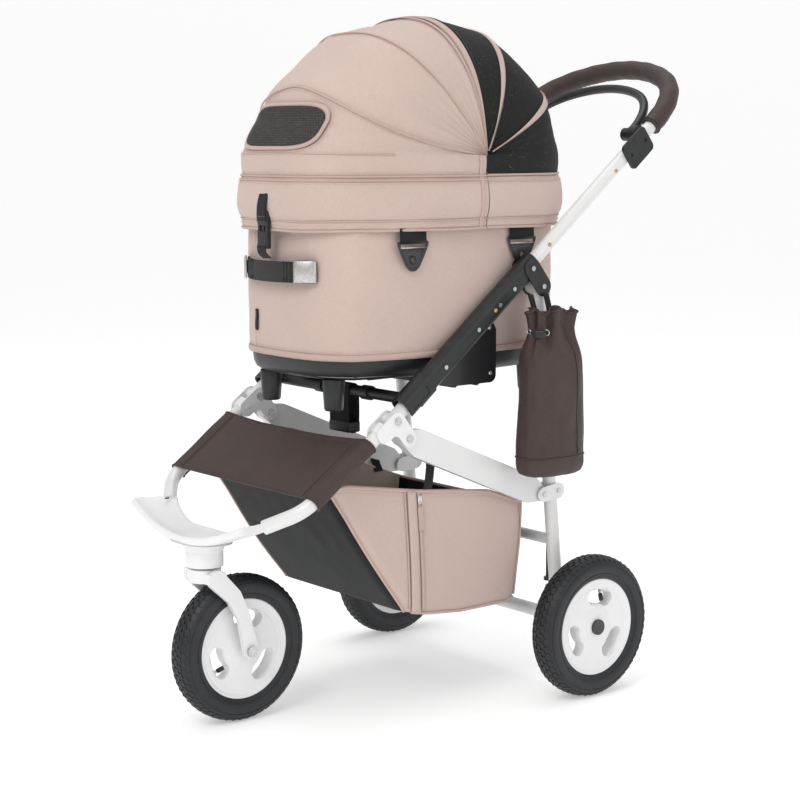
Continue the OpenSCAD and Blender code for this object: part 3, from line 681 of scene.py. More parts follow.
def outline(width, length, radius, count=160, power=2.35):
    """Rounded rectangle seen from above, with soft corners, starting at the back and going round."""
    points = []
    for k in range(count):
        a = math.tau * k / count + math.pi / 2
        c, s = math.cos(a), math.sin(a)
        cx, cy = width / 2 - radius, length / 2 - radius
        x = cx * max(-1, min(1, c * 3)) + radius * math.copysign(abs(c) ** (2 / power), c)
        y = cy * max(-1, min(1, s * 1.6)) + radius * math.copysign(abs(s) ** (2 / power), s)
        points.append((x, y))
    return even_loop(points, count)


def even_loop(points, count):
    """The same closed outline with evenly spaced points."""
    p = np.array(points + [points[0]])
    run = np.concatenate([[0], np.cumsum(np.linalg.norm(np.diff(p, axis=0), axis=1))])
    want = np.linspace(0, run[-1], count, endpoint=False)
    return list(zip(np.interp(want, run, p[:, 0]), np.interp(want, run, p[:, 1])))


def grown_out(points, offset):
    """Outline moved outwards by offset along its own normals."""
    n = len(points)
    out = []
    for i, (x, y) in enumerate(points):
        (x0, y0), (x1, y1) = points[i - 1], points[(i + 1) % n]
        tx, ty = x1 - x0, y1 - y0
        size = math.hypot(tx, ty)
        out.append((x + ty / size * offset, y - tx / size * offset))
    return out


PLAN = outline(COT_W, COT_L, COT_R)
if grown_out(PLAN, 0.01)[40][0] ** 2 < PLAN[40][0] ** 2:
    PLAN.reverse()


def around_cot(z, offset, points=PLAN):
    return [at(x, y + COT_Y, z) for x, y in grown_out(points, offset)]


def cloth_ripple(p, size, depth, seed):
    return depth * noise.noise(Vector(p) * size + Vector((seed, seed * 1.7, seed * 0.6)))


def cot_fabric():
    rows = []
    levels = 30
    for i in range(levels + 1):
        v = i / levels
        z = COT_HEM + (COT_TOP - COT_HEM) * v
        belly = 0.0012 * math.sin(math.pi * v) - 0.002 * math.exp(-v * 26)
        ring = [belly + cloth_ripple((x * 0.6, y * 0.6, z * 1.6), 14, 0.0016, 3) for x, y in PLAN]
        rows.append([at(*(np.array((x, y + COT_Y, z)) + np.array((nx, ny, 0)) * d))
                     for (x, y), (nx, ny), d in zip(PLAN, PLAN_WAY, ring)])
    body = wall(grid("cot_wall", rows, [PINK_CLOTH, PINK_LINING], loop=True), 0.0035)
    body.modifiers[-1].material_offset = 1
    return body


PLAN_WAY = [(b[0] - a[0], b[1] - a[1]) for a, b in zip(PLAN, grown_out(PLAN, 1.0))]
settle(cot_fabric(), "cot", "fabric_pink", "cot_shell")


def cot_trim():
    """Bound hem round the cot's foot and the seam up its front."""
    rows = []
    for k in range(9):
        a = math.tau * k / 8
        rows.append([p for p in around_cot(COT_HEM + 0.0008 + 0.0052 * math.sin(a),
                                           0.0004 + 0.0022 * math.cos(a))])
    binding = grid("hem", rows[:-1], PINK_TRIM, loop=True, ring=True)
    seam = rod("front_seam", [at(-0.066, COT_Y - COT_L / 2 + 0.0052, COT_HEM + 0.006 + 0.004 * k)
                              for k in range(50)], 0.0009, PINK_TRIM, 8)
    return joined("cot_hem", [binding, seam])


settle(cot_trim(), "cot", "fabric_pink")
settle(stitched("cot_hem_stitches",
                [around_cot(COT_HEM + 0.0095, 0.0006) + [around_cot(COT_HEM + 0.0095, 0.0006)[0]]],
                THREAD_PINK), "cot", "fabric_pink")


def tray_shell():
    steps = [(0.002, 0.569, -0.004), (0, 0.560, -0.0045), (0, 0.546, -0.006), (0, 0.538, -0.0095),
             (0, 0.5325, -0.017), (0, 0.5302, -0.028), (0, 0.5302, -0.06)]
    rows = [around_cot(z, off) for _, z, off in steps]
    centre = [at(x * 0.02, y * 0.02 + COT_Y, 0.5302) for x, y in PLAN]
    rows += [[a.lerp(b, t) for a, b in zip(rows[-1], centre)] for t in (0.4, 0.8, 1.0)]
    rows.reverse()
    tray = wall(grid("cot_base", rows, BLACK_PLASTIC, loop=True), 0.004)
    ribs = []
    for x in (-0.10, -0.05, 0.0, 0.05, 0.10):
        ribs.append(block("rib", (x - 0.002, COT_Y - 0.15, 0.5262), (x + 0.002, COT_Y + 0.15, 0.5312),
                          BLACK_PLASTIC, 0.0008, place=Matrix.Translation((0, FRONT_AXLE.y, 0))))
    return joined("cot_base", [tray, *ribs])


settle(tray_shell(), "cot", "moulding_black", "cot_tray")


def foot(x, y):
    """Ribbed stub foot under the base."""
    rows = []
    for z, half in ((0.4822, 0.0118), (0.4828, 0.0136), (0.486, 0.0147), (0.510, 0.0163), (0.531, 0.0176)):
        ring = []
        for k in range(48):
            a = math.tau * k / 48
            r = half * (1 + 0.07 * abs(math.cos(2 * a)) ** 3 - 0.03 * (abs(math.sin(4 * a)) > 0.97))
            ring.append(at(x + r * math.cos(a) * 1.02, y + r * math.sin(a), z))
        rows.append(ring)
    obj = grid("foot", rows, BLACK_PLASTIC, loop=True)
    close_ends(obj, 48, len(rows))
    return modify(obj, "BEVEL", width=0.0008, segments=2, limit_method="ANGLE")


settle(joined("cot_feet_moulded", [foot(x, COT_Y + y * (COT_L / 2 - 0.044)) for x in (-0.082, 0.082)
                                   for y in (-1, 1)]), "cot", "moulding_black", "cot_feet")


def quilt():
    """Padded mat: crowned, with sewn channels that cross."""
    half_w, half_l = 0.149, 0.233
    rows = []
    inner = outline(half_w * 2, half_l * 2, 0.12, 120)
    for k in range(22):
        v = k / 21
        scale = math.sin(v * math.pi / 2) if v < 1 else 1
        ring = []
        for x, y in inner:
            px, py = x * scale, y * scale
            channel = min(abs(math.sin((px + py) * math.pi / 0.06)),
                          abs(math.sin((px - py) * math.pi / 0.06)))
            rise = 0.019 * (1 - v ** 8) + 0.005 * channel ** 0.5 * (1 - v ** 10)
            ring.append(at(px, py + COT_Y, 0.536 + rise))
        rows.append(ring)
    rows.append([at(x * 0.97, y * 0.97 + COT_Y, 0.5355) for x, y in inner])
    top = grid("cot_quilt", rows, CREAM_CLOTH, loop=True, flip=True)
    bm = bmesh.new()
    bm.from_mesh(top.data)
    bmesh.ops.remove_doubles(bm, verts=bm.verts, dist=1e-5)
    bmesh.ops.holes_fill(bm, edges=bm.edges)
    bmesh.ops.recalc_face_normals(bm, faces=bm.faces)
    bm.to_mesh(top.data)
    bm.free()
    return top


settle(quilt(), "cot", "fabric_cream", "cot_mat")


# ---- hood ----
HOOD_Y, HOOD_Z, HOOD_W = 0.3547, 0.8697, 0.350
HOOD_RISE, HOOD_FRONT, HOOD_BACK = 0.217, 0.292, 0.238
FRONT_SHARE = ((0, 1), (12, 0.64), (24, 0.54), (36, 0.36), (53, 0.2), (72, 0), (90, 0))
BACK_SHARE = ((0, 1), (10, 0.75), (25, 0.64), (40, 0.38), (55, 0.14), (72, 0), (90, 0))
FACE_SEAM, TOP_SEAM, MESH_EDGE = 22.0, 54.0, 88.0
NET_BANDS = (114.0, 153.0)
SKIRT = ((0.8697, 0.0), (0.856, 0.0004), (0.842, -0.0008), (0.8385, -0.0016), (0.835, 0.0008),
         (0.824, 0.0046),
         (0.808, 0.0066), (0.792, 0.0066), (0.780, 0.0042), (0.7735, 0.0006), (0.7715, -0.0006), (0.769,
                                                                                                  0.0004),
         (0.763, -0.0002), (0.757, -0.0022))


def hood_reach(a):
    table, extra = (FRONT_SHARE, HOOD_FRONT) if a < 90 else (BACK_SHARE, HOOD_BACK)
    share = np.interp(a if a < 90 else 180 - a, [p[0] for p in table], [p[1] for p in table])
    return HOOD_RISE + (extra - HOOD_RISE) * share


def hood_point(a, t, out=0.0):
    """Point on the hood: a degrees round from the front, t degrees across from the +X pivot."""
    c, s = math.cos(math.radians(t)), math.sin(math.radians(t))
    e = 0.86 - 0.16 * math.cos(math.radians(a)) ** 2
    x = (HOOD_W / 2 + out) * math.copysign(abs(c) ** e, c)
    r = (hood_reach(a) + out) * abs(s) ** e
    ca, sa = math.cos(math.radians(a)), math.sin(math.radians(a))
    return at(x, HOOD_Y - r * ca, HOOD_Z + r * sa)


def tuck(a, t, seams):
    """How far cloth sits inwards between its sewn seams, and the pull lines near the pivots."""
    edges = [s for s in seams]
    low = max([e for e in edges if e <= a], default=edges[0])
    high = min([e for e in edges if e > a], default=edges[-1])
    share = (a - low) / max(high - low, 1)
    near = math.sin(math.radians(t)) ** 0.8
    hang = -0.0042 * math.sin(math.pi * min(max(share, 0), 1)) * near
    pull = 0.0016 * (1 - near) * math.sin(a * 0.9)
    return hang + pull


def across(count, first=0.02):
    span = 180 - 2 * first
    return [first + span * (0.5 - 0.5 * math.cos(math.pi * k / count)) for k in range(count + 1)]


CROSS = across(96)


def face_seam(t):
    """The seam over the window drops towards the pivots."""
    return 6 + 0.198 * min(t, 180 - t)


def skirt_row(z, out, back=False, extra=0.0):
    a = 180.0 if back else 0.0
    row = []
    for t in CROSS:
        p = hood_point(a, t, out + extra)
        row.append(Vector((p.x, p.y, z + cloth_ripple((p.x, p.y, 0), 9, 0.0016, 5) * (z < 0.80))))
    return row


def wrinkled(rows, seed, depth=0.0012):
    out = []
    for row in rows:
        new = []
        for p in row:
            q = Vector((p.x, p.y - FRONT_AXLE.y - HOOD_Y, p.z - HOOD_Z))
            way = q.normalized()
            new.append(p + way * (cloth_ripple((p.x * 0.7, p.y * 0.7, p.z * 2.2), 13, depth, seed)
                                  + cloth_ripple(p, 34, depth * 0.35, seed + 9)))
        out.append(new)
    return out


def canopy():
    seams = (0, FACE_SEAM, TOP_SEAM, MESH_EDGE)
    rows = [skirt_row(z, out) for z, out in reversed(SKIRT[1:])]
    steps = 46
    for i in range(steps + 1):
        a = MESH_EDGE * i / steps
        rows.append([hood_point(a, t, tuck(a, t, seams)) for t in CROSS])
    return wall(grid("hood_canopy", wrinkled(rows, 2), PINK_CLOTH, flip=True), 0.0022)


WINDOW_LOW, WINDOW_HIGH, WINDOW_HALF = 0.884, 0.944, 0.088


def window_edge(count=64, grow=0.0):
    """Outline of the net window on the hood's face, as (x, height) pairs: a band with round ends."""
    mid, half = (WINDOW_LOW + WINDOW_HIGH) / 2, (WINDOW_HIGH - WINDOW_LOW) / 2 + grow
    out = []
    for k in range(count):
        a = math.tau * k / count
        c, s = math.cos(a), math.sin(a)
        x = (WINDOW_HALF + grow) * math.copysign(abs(c) ** 0.42, c)
        out.append((x, mid + half * math.copysign(abs(s) ** 0.62, s)))
    return out


def on_hood(x, z, out=0.0):
    """Point on the hood's face at a given x and height, by halving the angle."""
    low, high = 0.0, 60.0
    for _ in range(40):
        a = (low + high) / 2
        t = across_at(a, x)
        if hood_point(a, t, out).z < z:
            low = a
        else:
            high = a
    a = (low + high) / 2
    return hood_point(a, across_at(a, x), out)


def across_at(a, x):
    e = 0.86 - 0.16 * math.cos(math.radians(a)) ** 2
    c = abs(x) / (HOOD_W / 2)
    angle = math.degrees(math.acos(min(1, c ** (1 / e))))
    return angle if x > 0 else 180 - angle


def window_pieces():
    net_rows, frame_rows = [], []
    edge = window_edge(96)
    mid = (WINDOW_LOW + WINDOW_HIGH) / 2
    for k in range(13):
        s = k / 12
        net_rows.append([on_hood(x * s, mid + (z - mid) * s, 0.0016) for x, z in edge])
    for k in range(9):
        a = math.tau * k / 8
        grow = 0.0032 + 0.0030 * math.cos(a)
        frame_rows.append([on_hood(x, z, 0.0018 + 0.0014 * math.sin(a)) for x, z in window_edge(96, grow)])
    # The black cloth sheet just behind the net is painted shade: it stands in for the hood's shaded inside
    # seen through the window.
    painted_shade = grid("window_dark", net_rows, BLACK_CLOTH, loop=True)
    net = grid("hood_window", [[on_hood(x * k / 12, mid + (z - mid) * k / 12, 0.0026) for x, z in edge]
                               for k in range(13)], WINDOW_NET, loop=True)
    for o in (painted_shade, net):
        mesh = o.data
        uv = mesh.uv_layers[0].data
        for loop in mesh.loops:
            co = mesh.vertices[loop.vertex_index].co
            uv[loop.index].uv = (co.x, co.z * 1.1)
    bind = grid("window_binding", frame_rows[:-1], PINK_TRIM, loop=True, ring=True)
    return painted_shade, net, bind


def ribbon(name, angle_of, half, out, finish, count=72, first=1.0, thick=0.0014, ripple=0.0):
    """Band of cloth laid over the hood along a rib line; half is its half width in degrees."""
    rows = []
    for k in range(7):
        d = -half + half * k / 3
        lift = out + 0.0006 * (1 - (d / half) ** 2)
        row = []
        for j in range(count + 1):
            t = first + (180 - 2 * first) * j / count
            taper = min(1, 0.35 + math.sin(math.radians(t)) * 1.3)
            row.append(hood_point(angle_of(t) + d * taper, t,
                                  lift + ripple * noise.noise(Vector((t * 0.2, d, 1)))))
        rows.append(row)
    return wall(grid(name, rows, finish, flip=True), thick)


def seam_line(angle_of, out, first=2.0, count=120):
    return [hood_point(angle_of(t), t, out) for t in
            [first + (180 - 2 * first) * k / count for k in range(count + 1)]]


def skirt_line(z, out, back=False):
    return skirt_row(z, out, back)


def hood_front_pieces():
    parts = [canopy()]
    painted_shade, net, bind = window_pieces()
    settle_blend([parts[0]], "hood_canopy", ("hood_front",))
    trims = [bind]
    trims.append(rod("seam", seam_line(face_seam, 0.0016), 0.0013, PINK_TRIM, 8))
    trims.append(rod("seam", seam_line(lambda t: TOP_SEAM, 0.0012), 0.0014, PINK_TRIM, 8))
    trims.append(ribbon("edge", lambda t: MESH_EDGE - 2.2, 2.0, 0.0016, PINK_TRIM))
    trims.append(ribbon("zip_tape", lambda t: MESH_EDGE - 6.4, 0.7, 0.0008, PINK_LINING, thick=0.001))
    for z, out, r in ((0.8385, 0.0004, 0.0017), (0.8325, 0.0030, 0.0013), (0.8715, 0.0010, 0.0009),
                      (0.7722, 0.0012, 0.0012), (0.7578, -0.0008, 0.0022)):
        if z < HOOD_Z:
            line = skirt_line(z, out)
        else:
            line = [p for p in seam_line(lambda t: 0.6, out, 28.0)]
        trims.append(rod("seam", line, r, PINK_TRIM, 8))
    for side in (-1, 1):
        edge = []
        for z, out in SKIRT:
            p = hood_point(0, 0.4, out + 0.0008)
            edge.append(Vector((side * p.x, p.y - 0.003, z)))
        trims.append(strap("side_zip", curve_through(edge, 30), 0.007, 0.0022, PINK_TRIM,
                           Vector((side, 0, 0))))
    settle_blend(trims, "hood_seams")
    # Painted shade: the black sheet behind the window net.
    settle_blend([painted_shade], "window_shade_sheet")
    settle_blend([net], "hood_window_net")
    lines = []
    for shift in (-0.9, 0.9):
        lines.append(seam_line(lambda t: face_seam(t) + shift, 0.0012))
        lines.append(seam_line(lambda t: TOP_SEAM + shift, 0.0006))
    lines.append(seam_line(lambda t: MESH_EDGE - 4.6, 0.0012))
    lines.append([on_hood(x, z, 0.0012) for x, z in window_edge(120, 0.009)])
    lines.append(skirt_line(0.7655, 0.0014))
    lines.append(skirt_line(0.8425, 0.0012))
    lines.append(skirt_line(0.8290, 0.0048))
    settle_blend([stitched("hood_stitches", lines, THREAD_PINK)], "hood_stitches")


def settle_blend(parts, name, nodes=()):
    """Joins hood pieces into one named object, bakes its transform and hides the CAD nodes it stands for."""
    obj = joined(name, parts) if len(parts) > 1 or parts[0].modifiers else parts[0]
    obj.name = name
    at(0, HOOD_Y + 0.02, HOOD_Z + 0.205)
    at(0, 0.15, HOOD_Z - 0.005)
    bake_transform(obj)
    if nodes:
        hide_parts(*nodes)
    return obj


hood_front_pieces()


def hood_back_pieces():
    seams = (MESH_EDGE, *NET_BANDS, 180)
    rows = []
    steps = 44
    for i in range(steps + 1):
        a = MESH_EDGE + (180 - MESH_EDGE) * i / steps
        rows.append([hood_point(a, t, tuck(a, t, seams) * 0.7) for t in CROSS])
    top = [rows[i] for i in range(len(rows))]
    drop = [skirt_row(z, out, True) for z, out in SKIRT[1:4]]
    net = grid("hood_net", wrinkled(top + drop, 4, 0.0008), NET, flip=True)
    band = wall(grid("rear_band", wrinkled([skirt_row(z, out, True) for z, out in SKIRT[3:]], 6),
                     PINK_CLOTH,
                     flip=True), 0.0022)
    trims = [band]
    for angle in NET_BANDS:
        trims.append(ribbon("net_band", lambda t: angle, 1.9, 0.0012, PINK_CLOTH))
    trims.append(ribbon("net_edge", lambda t: MESH_EDGE + 1.4, 0.7, 0.001, BLACK_CLOTH, thick=0.001))
    for z, out, r in ((0.8395, 0.0006, 0.0016), (0.8300, 0.0036, 0.0010), (0.7722, 0.0012, 0.0011),
                      (0.7578, -0.0008, 0.0020)):
        trims.append(rod("seam", skirt_line(z, out, True), r, PINK_TRIM, 8))
    settle(net, "cot", "mesh_black", "hood_mesh")
    settle(joined("hood_rear_band", trims), "cot", "fabric_pink")
    lines = [skirt_line(0.7655, 0.0014, True), skirt_line(0.8345, 0.0016, True)]
    for angle in NET_BANDS:
        for shift in (-1.3, 1.3):
            lines.append(seam_line(lambda t: angle + shift, 0.0026))
    settle(stitched("rear_stitches", lines, THREAD_PINK), "cot", "fabric_pink")


hood_back_pieces()


# ---- basket ----
BASKET_HALF = 0.162
RIM_LINE = ((0.050, 0.378), (0.090, 0.379), (0.192, 0.362), (0.228, 0.356), (0.299, 0.348), (0.373, 0.339),
            (0.457, 0.307))
KEEL_LINE = ((0.198, 0.169), (0.245, 0.160), (0.315, 0.153), (0.414, 0.153), (0.442, 0.162))
BASKET_CORNER = 0.026


def on_line(table, y):
    return float(np.interp(y, [p[0] for p in table], [p[1] for p in table]))


def basket_point(turn, v, out=0.0):
    """Point on the basket: turn goes round it from its front by its left side, v from floor to rim."""
    y0 = 0.198 + (0.050 - 0.198) * v
    y1 = 0.442 + 0.015 * v
    length = y1 - y0
    half, r = BASKET_HALF + out, BASKET_CORNER
    arc = math.pi / 2 * r
    run = length + 2 * out - 2 * r
    parts = [half - r, arc, run, arc, 2 * (half - r), arc, run, arc, half - r]
    shares = [0.100, 0.025, 0.2375, 0.025, 0.225, 0.025, 0.2375, 0.025, 0.100]
    want = turn % 1
    for i, share in enumerate(shares):
        if want <= share or i == len(shares) - 1:
            break
        want -= share
    s = parts[i] * want / shares[i]
    q = s / r
    lo, hi = y0 - out, y1 + out
    x, y = [(s, lo), (half - r + r * math.sin(q), lo + r - r * math.cos(q)), (half, lo + r + s),
            (half - r + r * math.cos(q), hi - r + r * math.sin(q)), (half - r - s, hi),
            (-half + r - r * math.sin(q), hi - r + r * math.cos(q)), (-half, hi - r - s),
            (-half + r - r * math.cos(q), lo + r - r * math.sin(q)), (-half + r + s, lo)][i]
    rim = on_line(RIM_LINE, min(max(y, 0.05), 0.457))
    keel = on_line(KEEL_LINE, min(max(y, 0.198), 0.442))
    return Vector((x, y, keel + (rim - keel) * v))


def basket_cloth(p, v, depth=1.0):
    """Slack of the cloth: sides belly out a little and hang in soft folds from the rim's ties."""
    centre = Vector((0, 0.28, 0.26))
    way = Vector((p.x / 0.162, (p.y - centre.y) / 0.2, 0)).normalized()
    belly = 0.0036 * math.sin(math.pi * v) * depth
    fold = 0.0030 * noise.noise(Vector((p.x * 9, p.y * 9, p.z * 3 + 4))) * math.sin(math.pi * min(1,
                                                                                                  v * 1.1))
    crease = 0.0015 * noise.noise(Vector((p.x * 30, p.y * 26, p.z * 12)))
    return at(*(p + way * (belly + fold + crease * math.sin(math.pi * v))))


TURNS = 320


def basket_shell():
    rows = []
    for k in range(41):
        v = k / 40
        rows.append([basket_cloth(basket_point(j / TURNS, v), v) for j in range(TURNS)])
    floor = []
    foot = rows[0]
    mid = at(0, 0.32, 0.158)
    for s in (0.05, 0.12, 0.25, 0.4, 0.6, 0.8, 0.999):
        ring = []
        for p in reversed(foot):
            q = p.lerp(mid, s) if s < 0.99 else mid.copy()
            q.z = p.z - 0.006 * math.sin(math.pi * min(s * 1.4, 1) / 2) + 0.0016 * noise.noise(q * 22)
            ring.append(q)
        floor.append(ring)
    shell = grid("basket_cloth", [list(reversed(r)) for r in reversed(floor)] + rows,
                 [PINK_CLOTH, BLACK_CLOTH],
                 loop=True)
    for face in shell.data.polygons:
        row, column = divmod(face.index, TURNS)
        turn = (column + 0.5) / TURNS
        face.material_index = 0 if row >= 7 and 0.112 < min(turn, 1 - turn) < 0.376 else 1
    return wall(shell, 0.0022)


def basket_side_lines(side):
    """Corner bindings of one side panel: up the front edge and up the rear edge."""
    first, last = (0.1125, 0.3750) if side > 0 else (0.8875, 0.6250)
    ends = []
    for turn in (first, last):
        ends.append([basket_cloth(basket_point(turn, k / 40, 0.001), k / 40) for k in range(41)])
    return ends


def turn_at(side, y, v):
    low, high = (0.110, 0.390) if side > 0 else (0.890, 0.610)
    for _ in range(30):
        m = (low + high) / 2
        if basket_point(m, v).y < y:
            low = m
        else:
            high = m
    return (low + high) / 2


def zip_point(side, y, v, out):
    """Point of an upright line on the basket's side, leaning like its front edge, out from the cloth."""
    return basket_cloth(basket_point(turn_at(side, y + 0.012 * (1 - v), v), v, out), v)


def basket_trim():
    parts = []
    rim = [basket_cloth(basket_point(j / TURNS, 1.0, 0.0004), 1.0) for j in range(TURNS)]
    parts.append(rod("rim", rim, 0.0030, PINK_TRIM, 10, loop=True))
    for side in (1, -1):
        for edge in basket_side_lines(side):
            parts.append(rod("binding", edge, 0.0022, PINK_TRIM, 10))
        foot = [basket_cloth(basket_point(turn_at(side, y, 0.0), 0.0, 0.001), 0.0)
                for y in np.linspace(0.215, 0.428, 30)]
        parts.append(rod("keel", foot, 0.0022, PINK_TRIM, 10))
        for y, r in ((0.200, 0.0016), (0.206, 0.0010), (0.4405, 0.0011)):
            line = [zip_point(side, y, k / 30, 0.0014)
                    for k in range(1, 31)]
            parts.append(rod("fold", line, r, PINK_TRIM, 8))
        flap = []
        for j in range(5):
            y = 0.204 + 0.0042 * j
            lift = 0.0016 + 0.0022 * math.sin(math.pi * (j + 0.6) / 5)
            flap.append([zip_point(side, y, k / 30, lift) for k in range(0, 31)])
        parts.append(wall(grid("zip_flap", flap, PINK_CLOTH, flip=side < 0), 0.0014))
        teeth = [zip_point(side, 0.2265, k / 60, 0.0018)
                 for k in range(2, 61)]
        parts.append(sweep("zip_coil", teeth, PINK_LINING,
                           lambda i, s, a: (0.0026 * math.cos(a),
                                            (0.0013 + 0.0004 * (i % 2)) * math.sin(a)),
                           sides=8, up=Vector((side, 0, 0))))
    return joined("basket_trim", parts)


def zip_pull(side):
    """Slider and its leather tab, hanging at the top of a basket zip."""
    p = basket_cloth(basket_point(turn_at(side, 0.229, 0.95), 0.95, 0.0022), 0.95)
    slider = block("slider", (-0.0014, -0.0042, -0.010), (0.0014, 0.0042, 0.004), STEEL, 0.0008,
                   place=Matrix.Translation(p))
    ringed = rod("slider_ring",
                 [p + Vector((side * 0.0018, 0.0035 * math.cos(a), -0.011 + 0.004 * math.sin(a)))
                                 for a in np.linspace(0, math.tau, 20,
                                                      endpoint=False)], 0.0006, STEEL, 6, loop=True)
    tab = strap("tab", [p + Vector((side * (0.0018 + 0.0001 * k), 0.0002 * k,
                                    -0.013 - 0.0036 * k)) for k in range(12)],
                0.0105, 0.0014, PINK_TRIM, Vector((side, 0, 0)))
    return [slider, ringed, tab]


def squashed(obj, slot, *nodes):
    """Basket cloth: bakes its modifiers, attaches it to the frame with a mesh of its own and hides the CAD
    nodes it stands for.
    """
    if obj.modifiers:
        bake(obj)
    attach(obj, "frame")
    tuple(at(0, 0.452, 0.30))
    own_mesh(obj)
    if nodes:
        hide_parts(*nodes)


squashed(basket_shell(), "fabric_pink", "basket")
squashed(basket_trim(), "fabric_pink")
squashed(joined("basket_zip_pulls", zip_pull(1) + zip_pull(-1)), "steel")


def basket_stitch_lines():
    lines = []
    for side in (1, -1):
        for y in (0.212, 0.233, 0.436):
            lines.append([zip_point(side, y, k / 30, 0.0008) for k in range(1, 31)])
        lines.append([basket_cloth(basket_point(turn_at(side, y, 0.955), 0.955, 0.0008), 0.955)
                      for y in np.linspace(0.075, 0.44, 60)])
    return lines


squashed(stitched("basket_stitches", basket_stitch_lines(), THREAD_PINK), "fabric_pink")


def basket_hangers():
    """Webbing tabs that tie the basket's rim to the side beams and the front tubes; their press studs are not
    drawn.
    """
    parts = []
    for side in (-1, 1):
        for y, z in ((0.245, 0.402), (0.405, 0.342)):
            rim = Vector((side * (BASKET_HALF - 0.006), y, on_line(RIM_LINE, y) - 0.004))
            path = curve_through([at(*rim), at(side * 0.1655, y, rim.z + 0.014),
                                  at(side * 0.1695, y + 0.002, z)], 12)
            parts.append(strap("hanger", path, 0.018, 0.0016, BLACK_CLOTH, Vector((side, 0, 0))))
    return joined("basket_hangers", parts)


squashed(basket_hangers(), "webbing_black")


# ---- pouch on the left leg ----
POUCH_X, POUCH_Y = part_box("pouch")[0].lerp(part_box("pouch")[1], 0.5).xy
POUCH_LOW, POUCH_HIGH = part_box("pouch")[0].z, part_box("pouch")[1].z
POUCH_HX = (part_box("pouch")[1].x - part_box("pouch")[0].x) / 2
POUCH_HY = (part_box("pouch")[1].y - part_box("pouch")[0].y) / 2


def pouch_point(angle, z, out=0.0):
    """Point on the bag: full below, drawn in by its cord near the top, with folds that fan down from it."""
    share = (z - POUCH_LOW) / (POUCH_HIGH - POUCH_LOW)
    base = min(1, max(0, share / 0.075)) if share < 0.075 else 1
    round_foot = math.sqrt(1 - (1 - base) ** 2) * 0.22 + 0.78
    drawn = 1 / (1 + math.exp(-(share - 0.80) * 26))
    flare = max(0, share - 0.90) * 1.1
    full = 0.985 - 0.06 * share
    c, s = math.cos(angle), math.sin(angle)
    squarer = 0.78
    hx = POUCH_HX * full * (1 - 0.46 * drawn + flare) * round_foot
    hy = POUCH_HY * full * (1 - 0.36 * drawn + flare * 0.8) * round_foot
    folds = drawn * (0.0052 * math.cos(7 * angle + 0.6) + 0.0024 * math.cos(13 * angle + 2.2))
    soft = 0.0028 * noise.noise(Vector((c * 1.3, s * 1.3, z * 9)))
    soft += 0.0012 * noise.noise(Vector((c * 4, s * 4, z * 26)))
    r = 1 + (folds + soft * (1 - 0.4 * drawn) + out) / max(hx, 0.01)
    return Vector((POUCH_X + hx * r * math.copysign(abs(c) ** squarer, c),
                   POUCH_Y + hy * (1 + (folds + soft + out) / max(hy,
                                                                  0.01)) * math.copysign(abs(s) ** squarer,
                                                                                         s),
                   z + 0.004 * drawn * math.cos(5 * angle)))


def pouch_bag():
    rows = []
    levels = 76
    for i in range(levels + 1):
        z = POUCH_LOW + (POUCH_HIGH - POUCH_LOW) * i / levels
        rows.append([pouch_point(math.tau * k / 120, z) for k in range(120)])
    mid = Vector((POUCH_X, POUCH_Y, POUCH_LOW))
    for s in (0.35, 0.75, 0.998):
        rows.insert(0, [p.lerp(Vector((mid.x, mid.y, p.z)), s) for p in rows[len(rows) - levels - 1]])
    bag = wall(grid("pouch_bag", rows, BROWN_LEATHER, loop=True), 0.0020)
    base = [pouch_point(math.tau * k / 120, POUCH_LOW + 0.030, 0.0006) for k in range(120)]
    top = [pouch_point(math.tau * k / 120, POUCH_HIGH - 0.0012, 0.0003) for k in range(120)]
    side = [pouch_point(0.42, POUCH_LOW + 0.032 + 0.0034 * k, 0.0005) for k in range(60)]
    parts = [bag, rod("base_seam", base, 0.0010, BROWN_LEATHER, 8, loop=True),
             rod("top_hem", top, 0.0016, BROWN_LEATHER, 8, loop=True), rod("side_seam", side, 0.0007,
                                                                           BROWN_LEATHER, 6)]
    return joined("pouch_bag", parts)


settle(pouch_bag(), "frame", "leather_brown", "pouch")


def pouch_fittings():
    z = POUCH_HIGH - 0.030
    parts = []
    for a in (-1.75, -0.62):
        p = pouch_point(a, z, 0.0006)
        way = (p - Vector((POUCH_X, POUCH_Y, p.z))).normalized()
        side = way.cross(Vector((0, 0, 1))).normalized()
        ring_pts = [p + side * (0.0042 * math.cos(b)) + Vector((0, 0, 0.0042 * math.sin(b)))
                    for b in np.linspace(0, math.tau, 24, endpoint=False)]
        parts.append(rod("eyelet", ring_pts, 0.0013, STEEL, 8, loop=True))
    lock_at = pouch_point(-0.95, z - 0.004, 0.010)
    parts.append(block("cord_lock", (-0.008, -0.006, -0.006), (0.008, 0.006, 0.006), BLACK_PLASTIC, 0.0026,
                       place=Matrix.Translation(lock_at) @ Matrix.Rotation(0.5, 4, "Z")))
    for a in (2.75, 3.35):
        top = pouch_point(a, POUCH_HIGH - 0.020, 0.0012)
        hang = [top, top + Vector((-0.0035, 0, 0.020)), Vector((0.1990, top.y, POUCH_HIGH + 0.022))]
        facing = Vector((-1, 0, 0.2))
        parts.append(strap("pouch_hanger", curve_through(hang, 20), 0.012, 0.0018, BLACK_CLOTH, facing))
    return joined("pouch_fittings", parts), lock_at


fittings, lock_at = pouch_fittings()
settle(fittings, "frame", "moulding_black")


